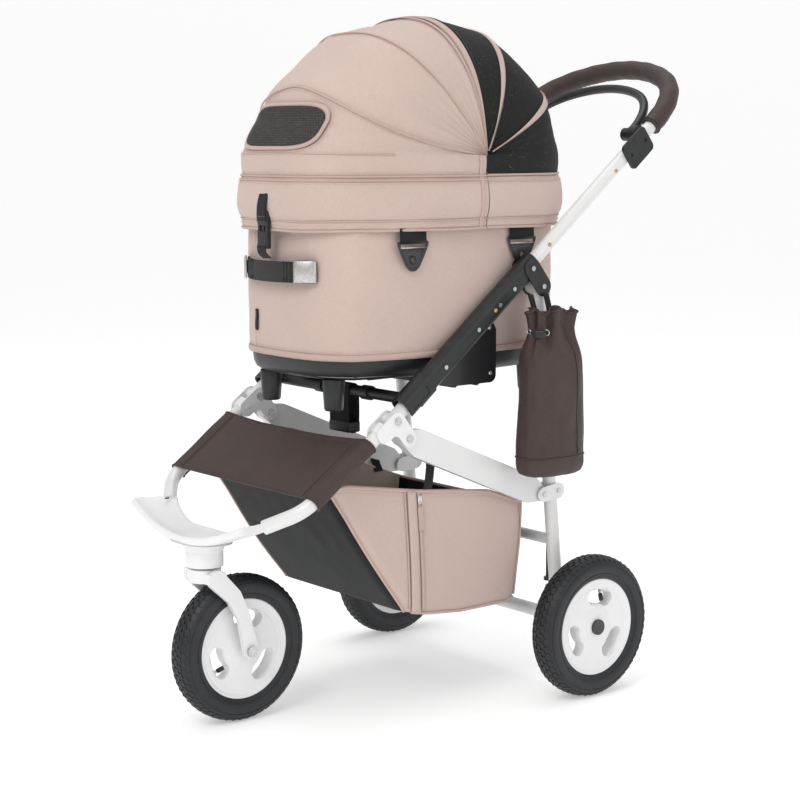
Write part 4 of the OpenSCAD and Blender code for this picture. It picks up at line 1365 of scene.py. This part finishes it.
def drawstring():
    """Cord through the bag's hem: out of one eyelet, through its lock and back into the other."""
    z = POUCH_HIGH - 0.030
    start, end = pouch_point(-1.75, z, 0.0008), pouch_point(-0.62, z, 0.0008)
    route = curve_through([start, pouch_point(-1.55, z - 0.004, 0.005),
                           pouch_point(-1.25, z - 0.010, 0.009),
                           lock_at + Vector((-0.006, -0.004, -0.001)), lock_at + Vector((0.006, 0.002,
                                                                                         0.0)),
                           pouch_point(-0.70, z - 0.003, 0.006), end], 36)
    string = rod("drawstring", route, 0.0013, BLACK_CLOTH, 10)
    run = sum((b - a).length for a, b in zip(route, route[1:]))
    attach(string, "frame")


drawstring()


# ---- footrest panel between the front tubes ----
PANEL_TOP, PANEL_LOW = -0.056, -0.187


def panel_point(u, s, out=0.0):
    """u from -1 to 1 goes round one tube, across the flat and round the other."""
    r = 0.0134 + out
    side = math.copysign(1, u)
    flat = TUBE_X
    wrap = r * math.radians(215)
    total = flat + wrap
    d = abs(u) * total
    if d <= flat:
        x = d
        share = x / flat
        n = r - 0.0075 * (1 - share ** 3) - 0.0012 * math.cos(s * 60) * (1 - share)
    else:
        a = math.radians(90) - (d - flat) / r
        x, n = flat + r * math.cos(a), r * math.sin(a)
    edge = 0.004 * (1 - min(d / flat, 1) ** 2)
    mid = (PANEL_TOP + PANEL_LOW) / 2
    pulled = mid + (s - mid) * (1 - edge / 0.066)
    return on_front(side * x, pulled, n + cloth_ripple((x * side, s, 0), 22, 0.0012, 8))


def panel():
    us = [-1 + 2 * k / 150 for k in range(151)]
    rows = [[panel_point(u, PANEL_LOW + (PANEL_TOP - PANEL_LOW) * i / 40) for u in us] for i in range(41)]
    sheet = wall(grid("panel", rows, BROWN_LEATHER), 0.0020)
    parts = [sheet]
    for s in (PANEL_TOP - 0.001, PANEL_LOW + 0.001):
        parts.append(rod("panel_edge", [panel_point(u, s, -0.0004) for u in us], 0.0016, BROWN_LEATHER, 8))
    for u in (-0.705, 0.705):
        parts.append(rod("sleeve_seam",
                         [panel_point(u, PANEL_LOW + (PANEL_TOP - PANEL_LOW) * i / 40, 0.0001)
                                         for i in range(41)], 0.0010, BROWN_LEATHER, 8))
    return joined("footrest", parts)


settle(panel(), "front_frame", "leather_brown", "footrest_panel")
PANEL_LINES = [[panel_point(u, PANEL_LOW + 0.002 + (PANEL_TOP - PANEL_LOW - 0.004) * i / 40, 0.0004)
                for i in range(41)] for u in (-0.725, -0.685, 0.685, 0.725)]
PANEL_LINES += [[panel_point(-0.7 + 1.4 * i / 80, s, 0.0004) for i in range(81)]
                for s in (PANEL_TOP - 0.007, PANEL_LOW + 0.007)]
settle(stitched("footrest_stitches", PANEL_LINES, THREAD_BROWN), "front_frame", "leather_brown")


# ---- grip ----
def bow_path(half, top, r_top, r_corner, start, steps=30):
    """Centreline of a bent handle in the frame's slope: (x, s) points from one end to the other."""
    cx = half - r_corner
    drop = math.sqrt((r_top - r_corner) ** 2 - cx * cx)
    sc = top - r_top + drop
    turn = math.atan2(drop, cx)
    right = [(half, start + (sc - start) * k / 8) for k in range(8)]
    right += [(cx + r_corner * math.cos(turn * k / steps), sc + r_corner * math.sin(turn * k / steps))
              for k in range(steps)]
    right += [(r_top * math.cos(turn + (math.pi / 2 - turn) * k / steps),
               top - r_top + r_top * math.sin(turn + (math.pi / 2 - turn) * k / steps)) for k in range(steps)]
    return right + [(0, top)] + [(-x, s) for x, s in reversed(right)]


GRIP_R = 0.0165
GRIP_LINE = curve_through([on_slope(x, s) for x, s in bow_path(0.1805, 0.866, 0.230, 0.135, 0.705)], 260)
SLOPE_UP = Vector((0, -math.sin(FRAME_SLOPE), math.cos(FRAME_SLOPE)))


def grip():
    def section(i, s, a):
        lace = 0.0012 * math.exp(-((math.sin(a / 2 + math.pi / 4)) / 0.10) ** 2)
        pucker = 0.0004 * math.sin(i * 0.9) * math.exp(-((math.sin(a / 2 + math.pi / 4)) / 0.3) ** 2)
        r = GRIP_R - 0.0002 - lace + pucker + 0.00035 * math.sin(i * 0.31 + 2 * a)
        taper = min(1, 0.90 + 3.2 * min(s, 1 - s) * 6)
        return r * taper * math.cos(a), r * taper * math.sin(a)
    tube = sweep("grip", GRIP_LINE, BROWN_LEATHER, section, sides=40, up=SLOPE_UP)
    parts = [tube]
    for k in (2, 257):
        t, side, up = frames_along(GRIP_LINE, SLOPE_UP)[k]
        ring_pts = [GRIP_LINE[k] + side * (0.0163 * math.cos(a)) + up * (0.0163 * math.sin(a))
                    for a in np.linspace(0, math.tau, 40, endpoint=False)]
        parts.append(rod("grip_end", ring_pts, 0.0014, BLACK_PLASTIC, 8, loop=True))
    return joined("grip_leather", parts)


settle(grip(), "frame", "leather_brown", "handle_grip")


def lacing():
    """Cross-stitches that close the leather on the grip's underside."""
    lines = []
    frames = frames_along(GRIP_LINE, SLOPE_UP)
    for i in range(6, 254, 4):
        for way in (-1, 1):
            line = []
            for k in range(5):
                a = -math.pi / 2 + way * (0.30 - 0.15 * k)
                j = i + k if i + k < 260 else 259
                t, side, up = frames[j]
                line.append(GRIP_LINE[j] + (side * math.cos(a) + up * math.sin(a)) * (GRIP_R + 0.0001))
            lines.append(line)
    return lines


def thread_lines(name, lines, finish, radius):
    return joined(name, [rod("thread", line, radius, finish, 6) for line in lines])


settle(thread_lines("grip_lacing", lacing(), THREAD_BROWN, 0.0007), "frame", "leather_brown")


# ---- platform ----
def platform():
    """Crescent footboard: dished top, thick front lip and rounded rear lobes."""
    def line(u):
        return at(0.1420 * u, -0.0800 + 0.0190 * abs(u) ** 1.9, 0.3010 + 0.0335 * abs(u) ** 2.0)

    def section(i, share, a):
        u = abs(2 * share - 1)
        round_end = math.sqrt(max(0.0, 1 - max(0, (u - 0.80) / 0.20) ** 2.2))
        c, s = math.cos(a), math.sin(a)
        half = (0.0265 + 0.0115 * min(u / 0.8, 1) ** 1.6) * max(0.10, round_end)
        x = half * math.copysign(abs(c) ** 0.66, c)
        lip = 0.0030 * max(0, c) ** 2
        dish = 0.0050 * (1 - abs(c) ** 2.2) * round_end
        top = 0.0078 - dish + lip
        return x, (top if s > 0 else 0.0088) * math.copysign(abs(s) ** 0.5, s) * (0.4 + 0.6 * round_end)
    path = [line(u) for u in np.sin(np.linspace(-math.pi / 2, math.pi / 2, 121))]
    board = smooth(sweep("board", path, WHITE_PLASTIC, section, sides=56))
    bowl = lathe("bowl", [(0.002, 0.0265), (0.000, 0.029), (0.000, 0.0315), (0.004, 0.034), (0.0075, 0.041),
                          (0.0110, 0.052), (0.0130, 0.060), (0.0150, 0.052)], WHITE_PLASTIC, at(0, -0.0600,
                                                                                                0.2800),
                 "Z", 64)
    for v in bowl.data.vertices:
        v.co.y = at(0, -0.060,
                    0).y + (v.co.y - at(0, -0.060, 0).y) * (0.80 if v.co.y < at(0, -0.060, 0).y else 0.55)
    # Painted shade: black blocks stand in for the dark openings of the strap slots.
    slots = [block("strap_slot_shade", (-0.0042, -0.0015, -0.0012), (0.0042, 0.0015, 0.0012), BLACK_PLASTIC,
                   0.0006,
                   place=Matrix.Translation(at(side * 0.119, -0.0500,
                                               0.3372)) @ Matrix.Rotation(side * 0.25, 4, "Y"))
             for side in (-1, 1)]
    return joined("platform", [board, bowl] + slots)


settle(platform(), "front_frame", "moulding_white", "platform_tray")


# ---- wheels ----
TYRE_PROFILE = ((-0.0160, 0.0775), (-0.0185, 0.0800), (-0.0192, 0.0835), (-0.0205, 0.0850),
                (-0.0222, 0.0895),
                (-0.0232, 0.0950), (-0.0228, 0.1010), (-0.0208, 0.1062), (-0.0180, 0.1098), (-0.0130,
                                                                                             0.1122),
                (-0.0070, 0.1135), (0.0, 0.1138))


def tyre(name, centre):
    half = list(TYRE_PROFILE)
    profile = half + [(-a, r) for a, r in reversed(half[:-1])]
    body = smooth(lathe(name, profile, RUBBER, centre, "X", 128))
    parts = [body]
    for side in (-1, 1):
        for r, x in ((0.0835, 0.0191), (0.0870, 0.0214), (0.1030, 0.0222)):
            parts.append(rod("line", [centre + Vector((side * x, r * math.cos(a), r * math.sin(a)))
                                      for a in np.linspace(0, math.tau, 128,
                                                           endpoint=False)], 0.0008, RUBBER, 6,
                             loop=True))
    points, ways, sides = [], [], []
    for k in range(56):
        for x, lean, shift in ((-0.0160, 0.45, 0.5), (-0.0076, 0.30, 0.0), (0.0, 0.0, 0.5),
                               (0.0076, -0.30, 0.0),
                               (0.0160, -0.45, 0.5)):
            a = math.tau * (k + shift) / 56
            out = Vector((0, math.cos(a), math.sin(a)))
            tilt = x / 0.0235 * 0.95
            r = 0.1142 if abs(x) < 0.003 else 0.1136 if abs(x) < 0.01 else 0.1108
            way = (out * math.cos(tilt) + Vector((1, 0, 0)) * math.sin(tilt)).normalized()
            along = Vector((0, -math.sin(a), math.cos(a)))
            across_way = (Vector((1, 0, 0)) * math.cos(tilt) - out * math.sin(tilt)).normalized()
            points.append(centre + Vector((x, 0, 0)) + out * r)
            ways.append(way)
            sides.append((across_way * math.cos(lean) + along * math.sin(lean)).normalized())
    blocks = grown(bare("tread", points, way=ways, side=sides), TREAD, RUBBER, Long=0.0098, Wide=0.0068,
                   Tall=0.0013)
    return joined(name, parts + [blocks])


def wheel_disc(name, centre, side):
    """Moulded wheel: seat ring with a rounded lip, three spokes between bean windows, and a hub."""
    ring_profile = ((-0.0172, 0.0735), (-0.0180, 0.0765), (-0.0172, 0.0790), (-0.010, 0.0780),
                    (0.010, 0.0780),
                    (0.0168, 0.0790), (0.0178, 0.0775), (0.0174, 0.0752), (0.0158, 0.0738), (0.0150,
                                                                                             0.0722),
                    (0.0149, 0.0690), (0.0147, 0.0630), (0.0136, 0.0610), (0.0110, 0.0602), (-0.0090,
                                                                                             0.0602),
                    (-0.0105, 0.0620), (-0.0130, 0.0700), (-0.0172, 0.0735))
    hub_profile = ((-0.0160, 0.0), (-0.0160, 0.018), (-0.0135, 0.021), (-0.0100, 0.024), (-0.0090, 0.0355),
                   (0.0115, 0.0372), (0.0136, 0.0364), (0.0147, 0.0345), (0.0152, 0.0250), (0.0156, 0.0190),
                   (0.0166, 0.0170), (0.0166, 0.0))
    parts = [lathe("seat", [(side * a, r) for a, r in ring_profile], WHITE_PLASTIC, centre, "X", 96),
             lathe("hub", [(side * a, r) for a, r in hub_profile], WHITE_PLASTIC, centre, "X", 64)]
    middles = [80.0, 200.0, 320.0]
    for k, first in enumerate(middles):
        nxt = middles[(k + 1) % 3] + (360 if k == 2 else 0)
        rows = []
        for i in range(25):
            r = 0.0325 + 0.0315 * i / 24
            q = abs((r - 0.0487) / 0.0152)
            half = 31.0 * (max(0.0, 1 - q ** 2.6)) ** (1 / 2.2) if q < 1 else 0.0
            row = []
            for j in range(25):
                a = math.radians(first + half + (nxt - first - 2 * half) * j / 24)
                x = side * 0.0148
                row.append(centre + Vector((x, r * math.cos(a), r * math.sin(a))))
            rows.append(row)
        spoke = grid("spoke", rows, WHITE_PLASTIC, flip=side > 0)
        wall(spoke, 0.0200)
        modify(spoke, "BEVEL", width=0.0014, segments=2, limit_method="ANGLE", angle_limit=0.6)
        parts.append(spoke)
    return joined(name, parts)


def valve(centre, side, angle):
    a = math.radians(angle)
    out = Vector((0, math.cos(a), math.sin(a)))
    foot = centre + out * 0.0606
    lean = (Vector((side * 0.55, 0, 0)) - out * 0.83).normalized()
    stem = rod("stem", [foot, foot + lean * 0.010], 0.0026, STEEL, 12)
    head = rod("cap", [foot + lean * 0.0095, foot + lean * 0.0205], 0.0036, BLACK_PLASTIC, 14)
    return [stem, head]


def wheel(place, body, tyre_node, rim_node, side, valve_angle):
    settle(tyre(tyre_node + "_rubber", place), body, "tyre_black", tyre_node)
    settle(joined(rim_node + "_disc",
                  [wheel_disc(rim_node, place, side)] + valve(place, side, valve_angle)),
           body, "rim_white", rim_node)


wheel(at(0, 0, WHEEL_R), "front_wheel", "front_tyre", "front_rim", 1, 215)
for side, name in ((1, "left"), (-1, "right")):
    wheel(Vector((side * REAR_X, REAR_AXLE.y, REAR_AXLE.z)), "rear_wheel_" + name, "rear_tyre_" + name,
          "rear_rim_" + name, side, 70)


# ---- cot straps ----
def strap_lug(side, y):
    """Webbing tab that runs under the hood's skirt, with a triangular metal loop."""
    x = side * 0.1634
    way = Vector((side, 0, 0))
    tab = strap("tab", curve_through([at(x, y, 0.7610), at(x + side * 0.0006, y, 0.752),
                                      at(x + side * 0.0010, y, 0.742),
                                      at(x + side * 0.0003, y,
                                         0.7390)], 20), 0.052, 0.0018, BLACK_CLOTH, way)
    fold = rod("fold", [at(x + side * 0.0004, y - 0.026, 0.7395),
                        at(x + side * 0.0004, y + 0.026, 0.7395)], 0.0024,
               BLACK_CLOTH, 12)
    loop = [at(x, y - 0.0275, 0.7405), at(x, y - 0.0262, 0.7330), at(x, y - 0.0110, 0.7045),
            at(x, y, 0.6985),
            at(x, y + 0.0110, 0.7045), at(x, y + 0.0262, 0.7330), at(x, y + 0.0275, 0.7405)]
    bail = sweep("bail", curve_through(loop, 60), BLACK_STEEL,
                 lambda i, s, a: (0.0028 * math.cos(a), 0.0015 * math.sin(a)), sides=12, up=way)
    bar = rod("bar", [at(x, y - 0.0255, 0.7318), at(x, y + 0.0255, 0.7318)], 0.0015, ALLOY, 10)
    rows = []
    for k in range(49):
        a = math.tau * k / 48
        c, s = math.cos(a), math.sin(a)
        edge_z = 0.7300 if s > 0 else 0.7000
        rim = min(0.0250 / max(abs(c), 1e-6), (edge_z - 0.7130) / s if abs(s) > 1e-6 else 9)
        rim = min(rim, (0.0090 + (0.7130 - 0.7010) * 0.56) / max(abs(c) - 0.56 * s, 0.05))
        rows.append([at(x, y + q * c, 0.7130 + q * s) for q in (0.0048, 0.5 * (0.0048 + rim), rim)])
    plate = wall(grid("plate", rows, GREY_PLASTIC, flip=side < 0), 0.0012, 0.0)
    eye = rod("eye", [at(x + side * 0.0006, y + 0.0050 * math.cos(a), 0.7130 + 0.0050 * math.sin(a))
                      for a in np.linspace(0, math.tau, 28,
                                           endpoint=False)], 0.0009, BLACK_STEEL, 8, loop=True)
    return [tab, fold, bail, bar, plate, eye]


settle(joined("cot_strap_loops",
              [p for side in (1, -1) for y in (0.216, 0.440) for p in strap_lug(side, y)]),
       "cot", "webbing_black", "strap_lugs")


def front_wall(x, out=0.0):
    """Point on the cot's plan at x, on its front."""
    loop = [p for p in grown_out(PLAN, out) if p[1] < 0]
    near = sorted(loop, key=lambda p: abs(p[0] - x))[:2]
    (xa, ya), (xb, yb) = near
    t = 0 if abs(xb - xa) < 1e-9 else min(1, max(0, (x - xa) / (xb - xa)))
    return COT_Y + ya + (yb - ya) * t


HANDLE_Z, HANDLE_END, HANDLE_BOW = 0.6965, 0.089, 0.0185


def webbing_face(i, share, a):
    """Section of the grab handle: flat webbing with grooves along it."""
    c, s = math.cos(a), math.sin(a)
    groove = 1 + 0.25 * math.cos(6 * math.asin(max(-1, min(1, c))))
    return -0.0015 * s * groove, 0.0160 * math.copysign(abs(c) ** 0.4, c)


def end_patch(side):
    """Metal plate with two rivets over one end of the grab handle, and the ridges beside it."""
    rows = []
    for dz in (-0.0168, -0.0150, 0.0, 0.0150, 0.0168):
        row = []
        for k in range(9):
            x = 0.062 + 0.030 * k / 8
            edge = 0.0012 if k in (0, 8) or abs(dz) > 0.016 else 0
            y = front_wall(side * x, 0.0012) - 0.0068 - HANDLE_BOW * (1 - (x / 0.0925) ** 3.0) + edge
            row.append(at(side * x, y, HANDLE_Z + dz))
        rows.append(row)
    parts = [wall(grid("patch", rows, ALLOY, flip=side < 0), 0.0018, 0.0)]
    for x in (0.040, 0.046, 0.052):
        y = front_wall(side * x, 0.0012) - 0.0028 - HANDLE_BOW * (1 - (x / HANDLE_END) ** 3.0)
        line = [at(side * x, y, HANDLE_Z + dz) for dz in (-0.0150, 0.0, 0.0150)]
        parts.append(rod("ridge", line, 0.0016, BLACK_PLASTIC, 8))
    x = side * 0.0895
    spots = [(at(x, front_wall(x, 0.0012) - 0.0064, HANDLE_Z + dz), Vector((side * 0.25, -0.96, 0)))
             for dz in (-0.0085, 0.0085)]
    return parts + [studded("patch_rivets", spots, BLACK_STEEL, 0.0018, 0.0009)]


def grab_handle():
    path = []
    for k in range(61):
        u = -1 + 2 * k / 60
        x = HANDLE_END * u
        bow = HANDLE_BOW * max(0.0, 1 - abs(u) ** 3.0)
        path.append(at(x, front_wall(x, 0.0012) - 0.0012 - bow, HANDLE_Z - 0.002 * (1 - u * u)))
    parts = [sweep("handle", path, GREY_WEBBING, webbing_face, sides=48)]
    for side in (-1, 1):
        parts += end_patch(side)
    return joined("front_grab_handle", parts)


settle(grab_handle(), "cot", "webbing_black", "grab_handle")


def hood_clip():
    """Side-release clip that holds the hood's front down: frame, two prongs, ladder and webbing."""
    y = 0.0575
    put = Matrix.Translation(at(0, y, 0))
    body = block("clip_socket", (-0.0125, -0.0052, 0.7290), (0.0125, 0.0042, 0.7560), BLACK_PLASTIC, 0.0022,
                 place=put)
    head = block("clip_head", (-0.0125, -0.0048, 0.7640), (0.0125, 0.0038, 0.7860), BLACK_PLASTIC, 0.0022,
                 place=put)
    prongs = [block("prong", (s * 0.0095 - 0.0028, -0.0040, 0.7500), (s * 0.0095 + 0.0028, 0.0030, 0.7680),
                    BLACK_PLASTIC, 0.0016, place=put) for s in (-1, 1)]
    tongue = block("tongue", (-0.0030, -0.0032, 0.7480), (0.0030, 0.0022, 0.7680), BLACK_PLASTIC, 0.0012,
                   place=put)
    bars = [rod("bar", [at(-0.0105, y - 0.0056, z), at(0.0105, y - 0.0056, z)], 0.0013, GREY_PLASTIC, 8)
            for z in (0.7350, 0.7700, 0.7780)]
    upper = strap("clip_webbing", curve_through([at(0, y + 0.0020, 0.8190), at(0, y - 0.0042, 0.7980),
                                                 at(0, y - 0.0058, 0.7820), at(0, y - 0.0050, 0.7700)], 16),
                  0.0240, 0.0018, BLACK_CLOTH, Vector((0, -1, 0)))
    tail = strap("clip_tail", curve_through([at(0, y - 0.0060, 0.7330), at(0, y - 0.0040, 0.7220),
                                             at(0.001, y + 0.0040, 0.7145)], 12),
                 0.0240, 0.0016, BLACK_CLOTH, Vector((0, -1, 0)))
    return joined("hood_clip", [body, head, tongue, upper, tail] + prongs + bars)


settle(hood_clip(), "hood", "moulding_black", "hood_buckle")


def side_tag():
    """Small blank woven tag sewn into the cot's front seam."""
    rows = [[at(-0.0655 + 0.0045 * k, front_wall(-0.0655 + 0.0045 * k) - 0.0022 - 0.0006 * math.sin(i),
                0.598 + 0.0055 * i)
             for k in range(3)] for i in range(7)]
    return wall(grid("seam_tag", rows, BLACK_CLOTH), 0.0008, 0.0)


settle(side_tag(), "cot", "webbing_black")


# ---- brake springs and the release strap ----
def brake_spring(side):
    foot = Vector((side * 0.1575, at(0, 0.5130, 0).y, 0.1300))
    coil = grown(bare("spring_seed", [foot]), COIL, STEEL, Turns=11.0, Radius=0.0052, Height=0.0345,
                 Wire=0.0009)
    coil.data.transform(Matrix.Translation(foot))
    top = foot + Vector((0, 0, 0.0345))
    hook = rod("hook", curve_through([top + Vector((0.0052, 0, -0.0004)), top + Vector((0.0025, 0, 0.0030)),
                                      top + Vector((0, 0, 0.0065))], 10), 0.0010, STEEL, 8)
    end = rod("hook", curve_through([foot + Vector((0.0052, 0, 0.0004)),
                                     foot + Vector((0.0025, 0, -0.0010)),
                                     foot + Vector((0, 0, -0.0020))], 10), 0.0010, STEEL, 8)
    return [coil, hook, end]


springs = joined("brake_coils", brake_spring(1) + brake_spring(-1))
at(0, 0.513, 0.130)
at(0, 0.513, 0.169)
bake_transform(springs)
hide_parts("brake_springs")


def release_strap():
    """Webbing loop that hangs from the release bar and pulls both lock collars."""
    mid = (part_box("pull_strap")[0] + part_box("pull_strap")[1]) / 2
    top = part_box("pull_strap")[1].z - 0.0115
    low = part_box("pull_strap")[0].z
    path = [Vector((0, mid.y - 0.0100, low + 0.014)), Vector((0, mid.y - 0.0104, (top + low) / 2)),
            Vector((0, mid.y - 0.0098, top - 0.002))]
    path += [Vector((0, mid.y - 0.0100 * math.cos(a),
                     top + 0.0102 * math.sin(a))) for a in np.linspace(0.2, 2.94, 9)]
    path += [Vector((0, mid.y + 0.0098, top - 0.002)), Vector((0, mid.y + 0.0104, (top + low) / 2)),
             Vector((0, mid.y + 0.0100, low + 0.014))]
    path += [Vector((0, mid.y + 0.0100 * math.cos(a), low + 0.012 - 0.0105 * math.sin(a)))
             for a in np.linspace(0.2, 2.94, 9)]
    loop = strap("pull_loop", curve_through(path, 90), 0.050, 0.0022, WEBBING, Vector((0, -1, 0)), ribs=3)
    pad = block("pull_grip", (-0.026, -0.0125, -0.009), (0.026, 0.0125, 0.009), BLACK_PLASTIC, 0.004,
                place=Matrix.Translation(Vector((0, mid.y, low + 0.011))))
    return joined("release_strap", [loop, pad])


settle(release_strap(), "release", "webbing_black", "pull_strap")


# ---- fasteners ----
def fasteners():
    silver, brass = [], []
    for side in (-1, 1):
        way = Vector((side, 0, 0))
        for y, z in ((0.3700, 0.6010), (0.3720, 0.5290)):
            silver.append((at(side * 0.1663, y, z), way))
        brass.append((at(side * 0.1948, 0.3572, 0.6306), way))
        for y, z in ((0.4751, 0.7282), (0.6225, 0.8429)):
            brass.append((at(side * (TUBE_X + TUBE_R - 0.0004), y, z), way))
    return (studded("plate_rivets", silver, STEEL, 0.0034, 0.0018),
            studded("brass_screws", brass, BRASS, 0.0036, 0.0022))


for piece in fasteners():
    settle(piece, "frame", "steel")

# ---- bare frame: better finishes for the CAD nodes that stay ----
KEPT = {
    WHITE_PAINT: ("upper_tube", "rear_leg_left", "rear_leg_right", "rear_cross_tube", "rear_axle",
                  "front_tube",
                  "side_beam_left", "side_beam_right"),
    WHITE_PLASTIC: ("rear_bracket_left", "rear_bracket_right", "front_bracket_left", "front_bracket_right",
                    "swivel_housing", "fork"),
    BLACK_PLASTIC: ("sleeve_left", "sleeve_right", "leg_lug_left", "leg_lug_right", "cot_cradle",
                    "accessory_plate_left", "accessory_plate_right", "brake_housing_left",
                    "brake_housing_right", "brake_bar", "lock_collar_left", "lock_collar_right",
                    "release_bar", "hood_hinges"),
    GREY_PLASTIC: ("rear_cap_left", "rear_cap_right"),
    BLACK_STEEL: ("side_plate_left", "side_plate_right", "brake_rods"),
    STEEL: ("hinge_pins", "front_axle", "hood_rib_top", "hood_rib_front", "frame_rivets"),
}
for finish, names in KEPT.items():
    for node in names:
        slots = NODES[node].material_slots
        if not slots:
            NODES[node].data.materials.append(finish.material)
        for s in slots:
            s.material = finish.material

# ---- studio ----
def studio():
    rows = []
    for k in range(41):
        u = k / 40
        y = -9 + 16 * min(u / 0.6, 1)
        z = 0.0
        if u > 0.6:
            a = (u - 0.6) / 0.4 * math.pi / 2
            y, z = 7 + 5 * math.sin(a), 5 - 5 * math.cos(a)
        rows.append([Vector((x * 1.2, y, z)) for x in range(-10, 11)])
    turn = Matrix.Rotation(math.radians(39.4), 4, "Z")
    sweep_floor = grid("studio_floor", [[turn @ p for p in row] for row in rows], STUDIO, flip=True)


STUDIO = Finish("studio_white", roughness=0.9).fixed(Base_Color=rgba(0.90, 0.90, 0.90),
                                                     Emission_Color=rgba(1, 1, 1),
                                                     Emission_Strength=0.34)
studio()


def lamp(name, place, target, size, power, colour=(1, 1, 1)):
    light = bpy.data.lights.new(name, "AREA")
    light.shape, light.size, light.energy, light.color = "DISK", size, power, colour
    obj = bpy.data.objects.new(name, light)
    SCENE.collection.objects.link(obj)
    obj.location = place
    obj.rotation_euler = (Vector(target) - Vector(place)).to_track_quat("-Z", "Y").to_euler()


lamp("key", (1.2, -3.0, 3.2), (0, 0, 0.5), 2.2, 58, (1, 0.985, 0.97))
lamp("fill", (3.6, 0.4, 1.8), (0, 0, 0.5), 2.6, 16)
lamp("top", (-0.6, 0.6, 4.2), (0, 0, 0.6), 2.8, 40)
world = bpy.data.worlds.new("studio_air")
world.use_nodes = True
world.node_tree.nodes["Background"].inputs["Color"].default_value = (1, 1, 1, 1)
world.node_tree.nodes["Background"].inputs["Strength"].default_value = 0.62
SCENE.world = world
SCENE.view_settings.view_transform = "Standard"

eye = bpy.data.cameras.new("camera")
eye.lens, eye.sensor_width = 82.86, 36
eye.shift_x, eye.shift_y = -0.0035, 0.0013
eye.clip_end = 60
camera = bpy.data.objects.new("camera", eye)
SCENE.collection.objects.link(camera)
camera.location = at(2.3074, -1.5637, 0.8907)
aim = at(0.0139, 0.3187, 0.4723) - camera.location
camera.rotation_euler = aim.to_track_quat("-Z", "Y").to_euler()
SCENE.camera = camera

bpy.context.view_layer.update()
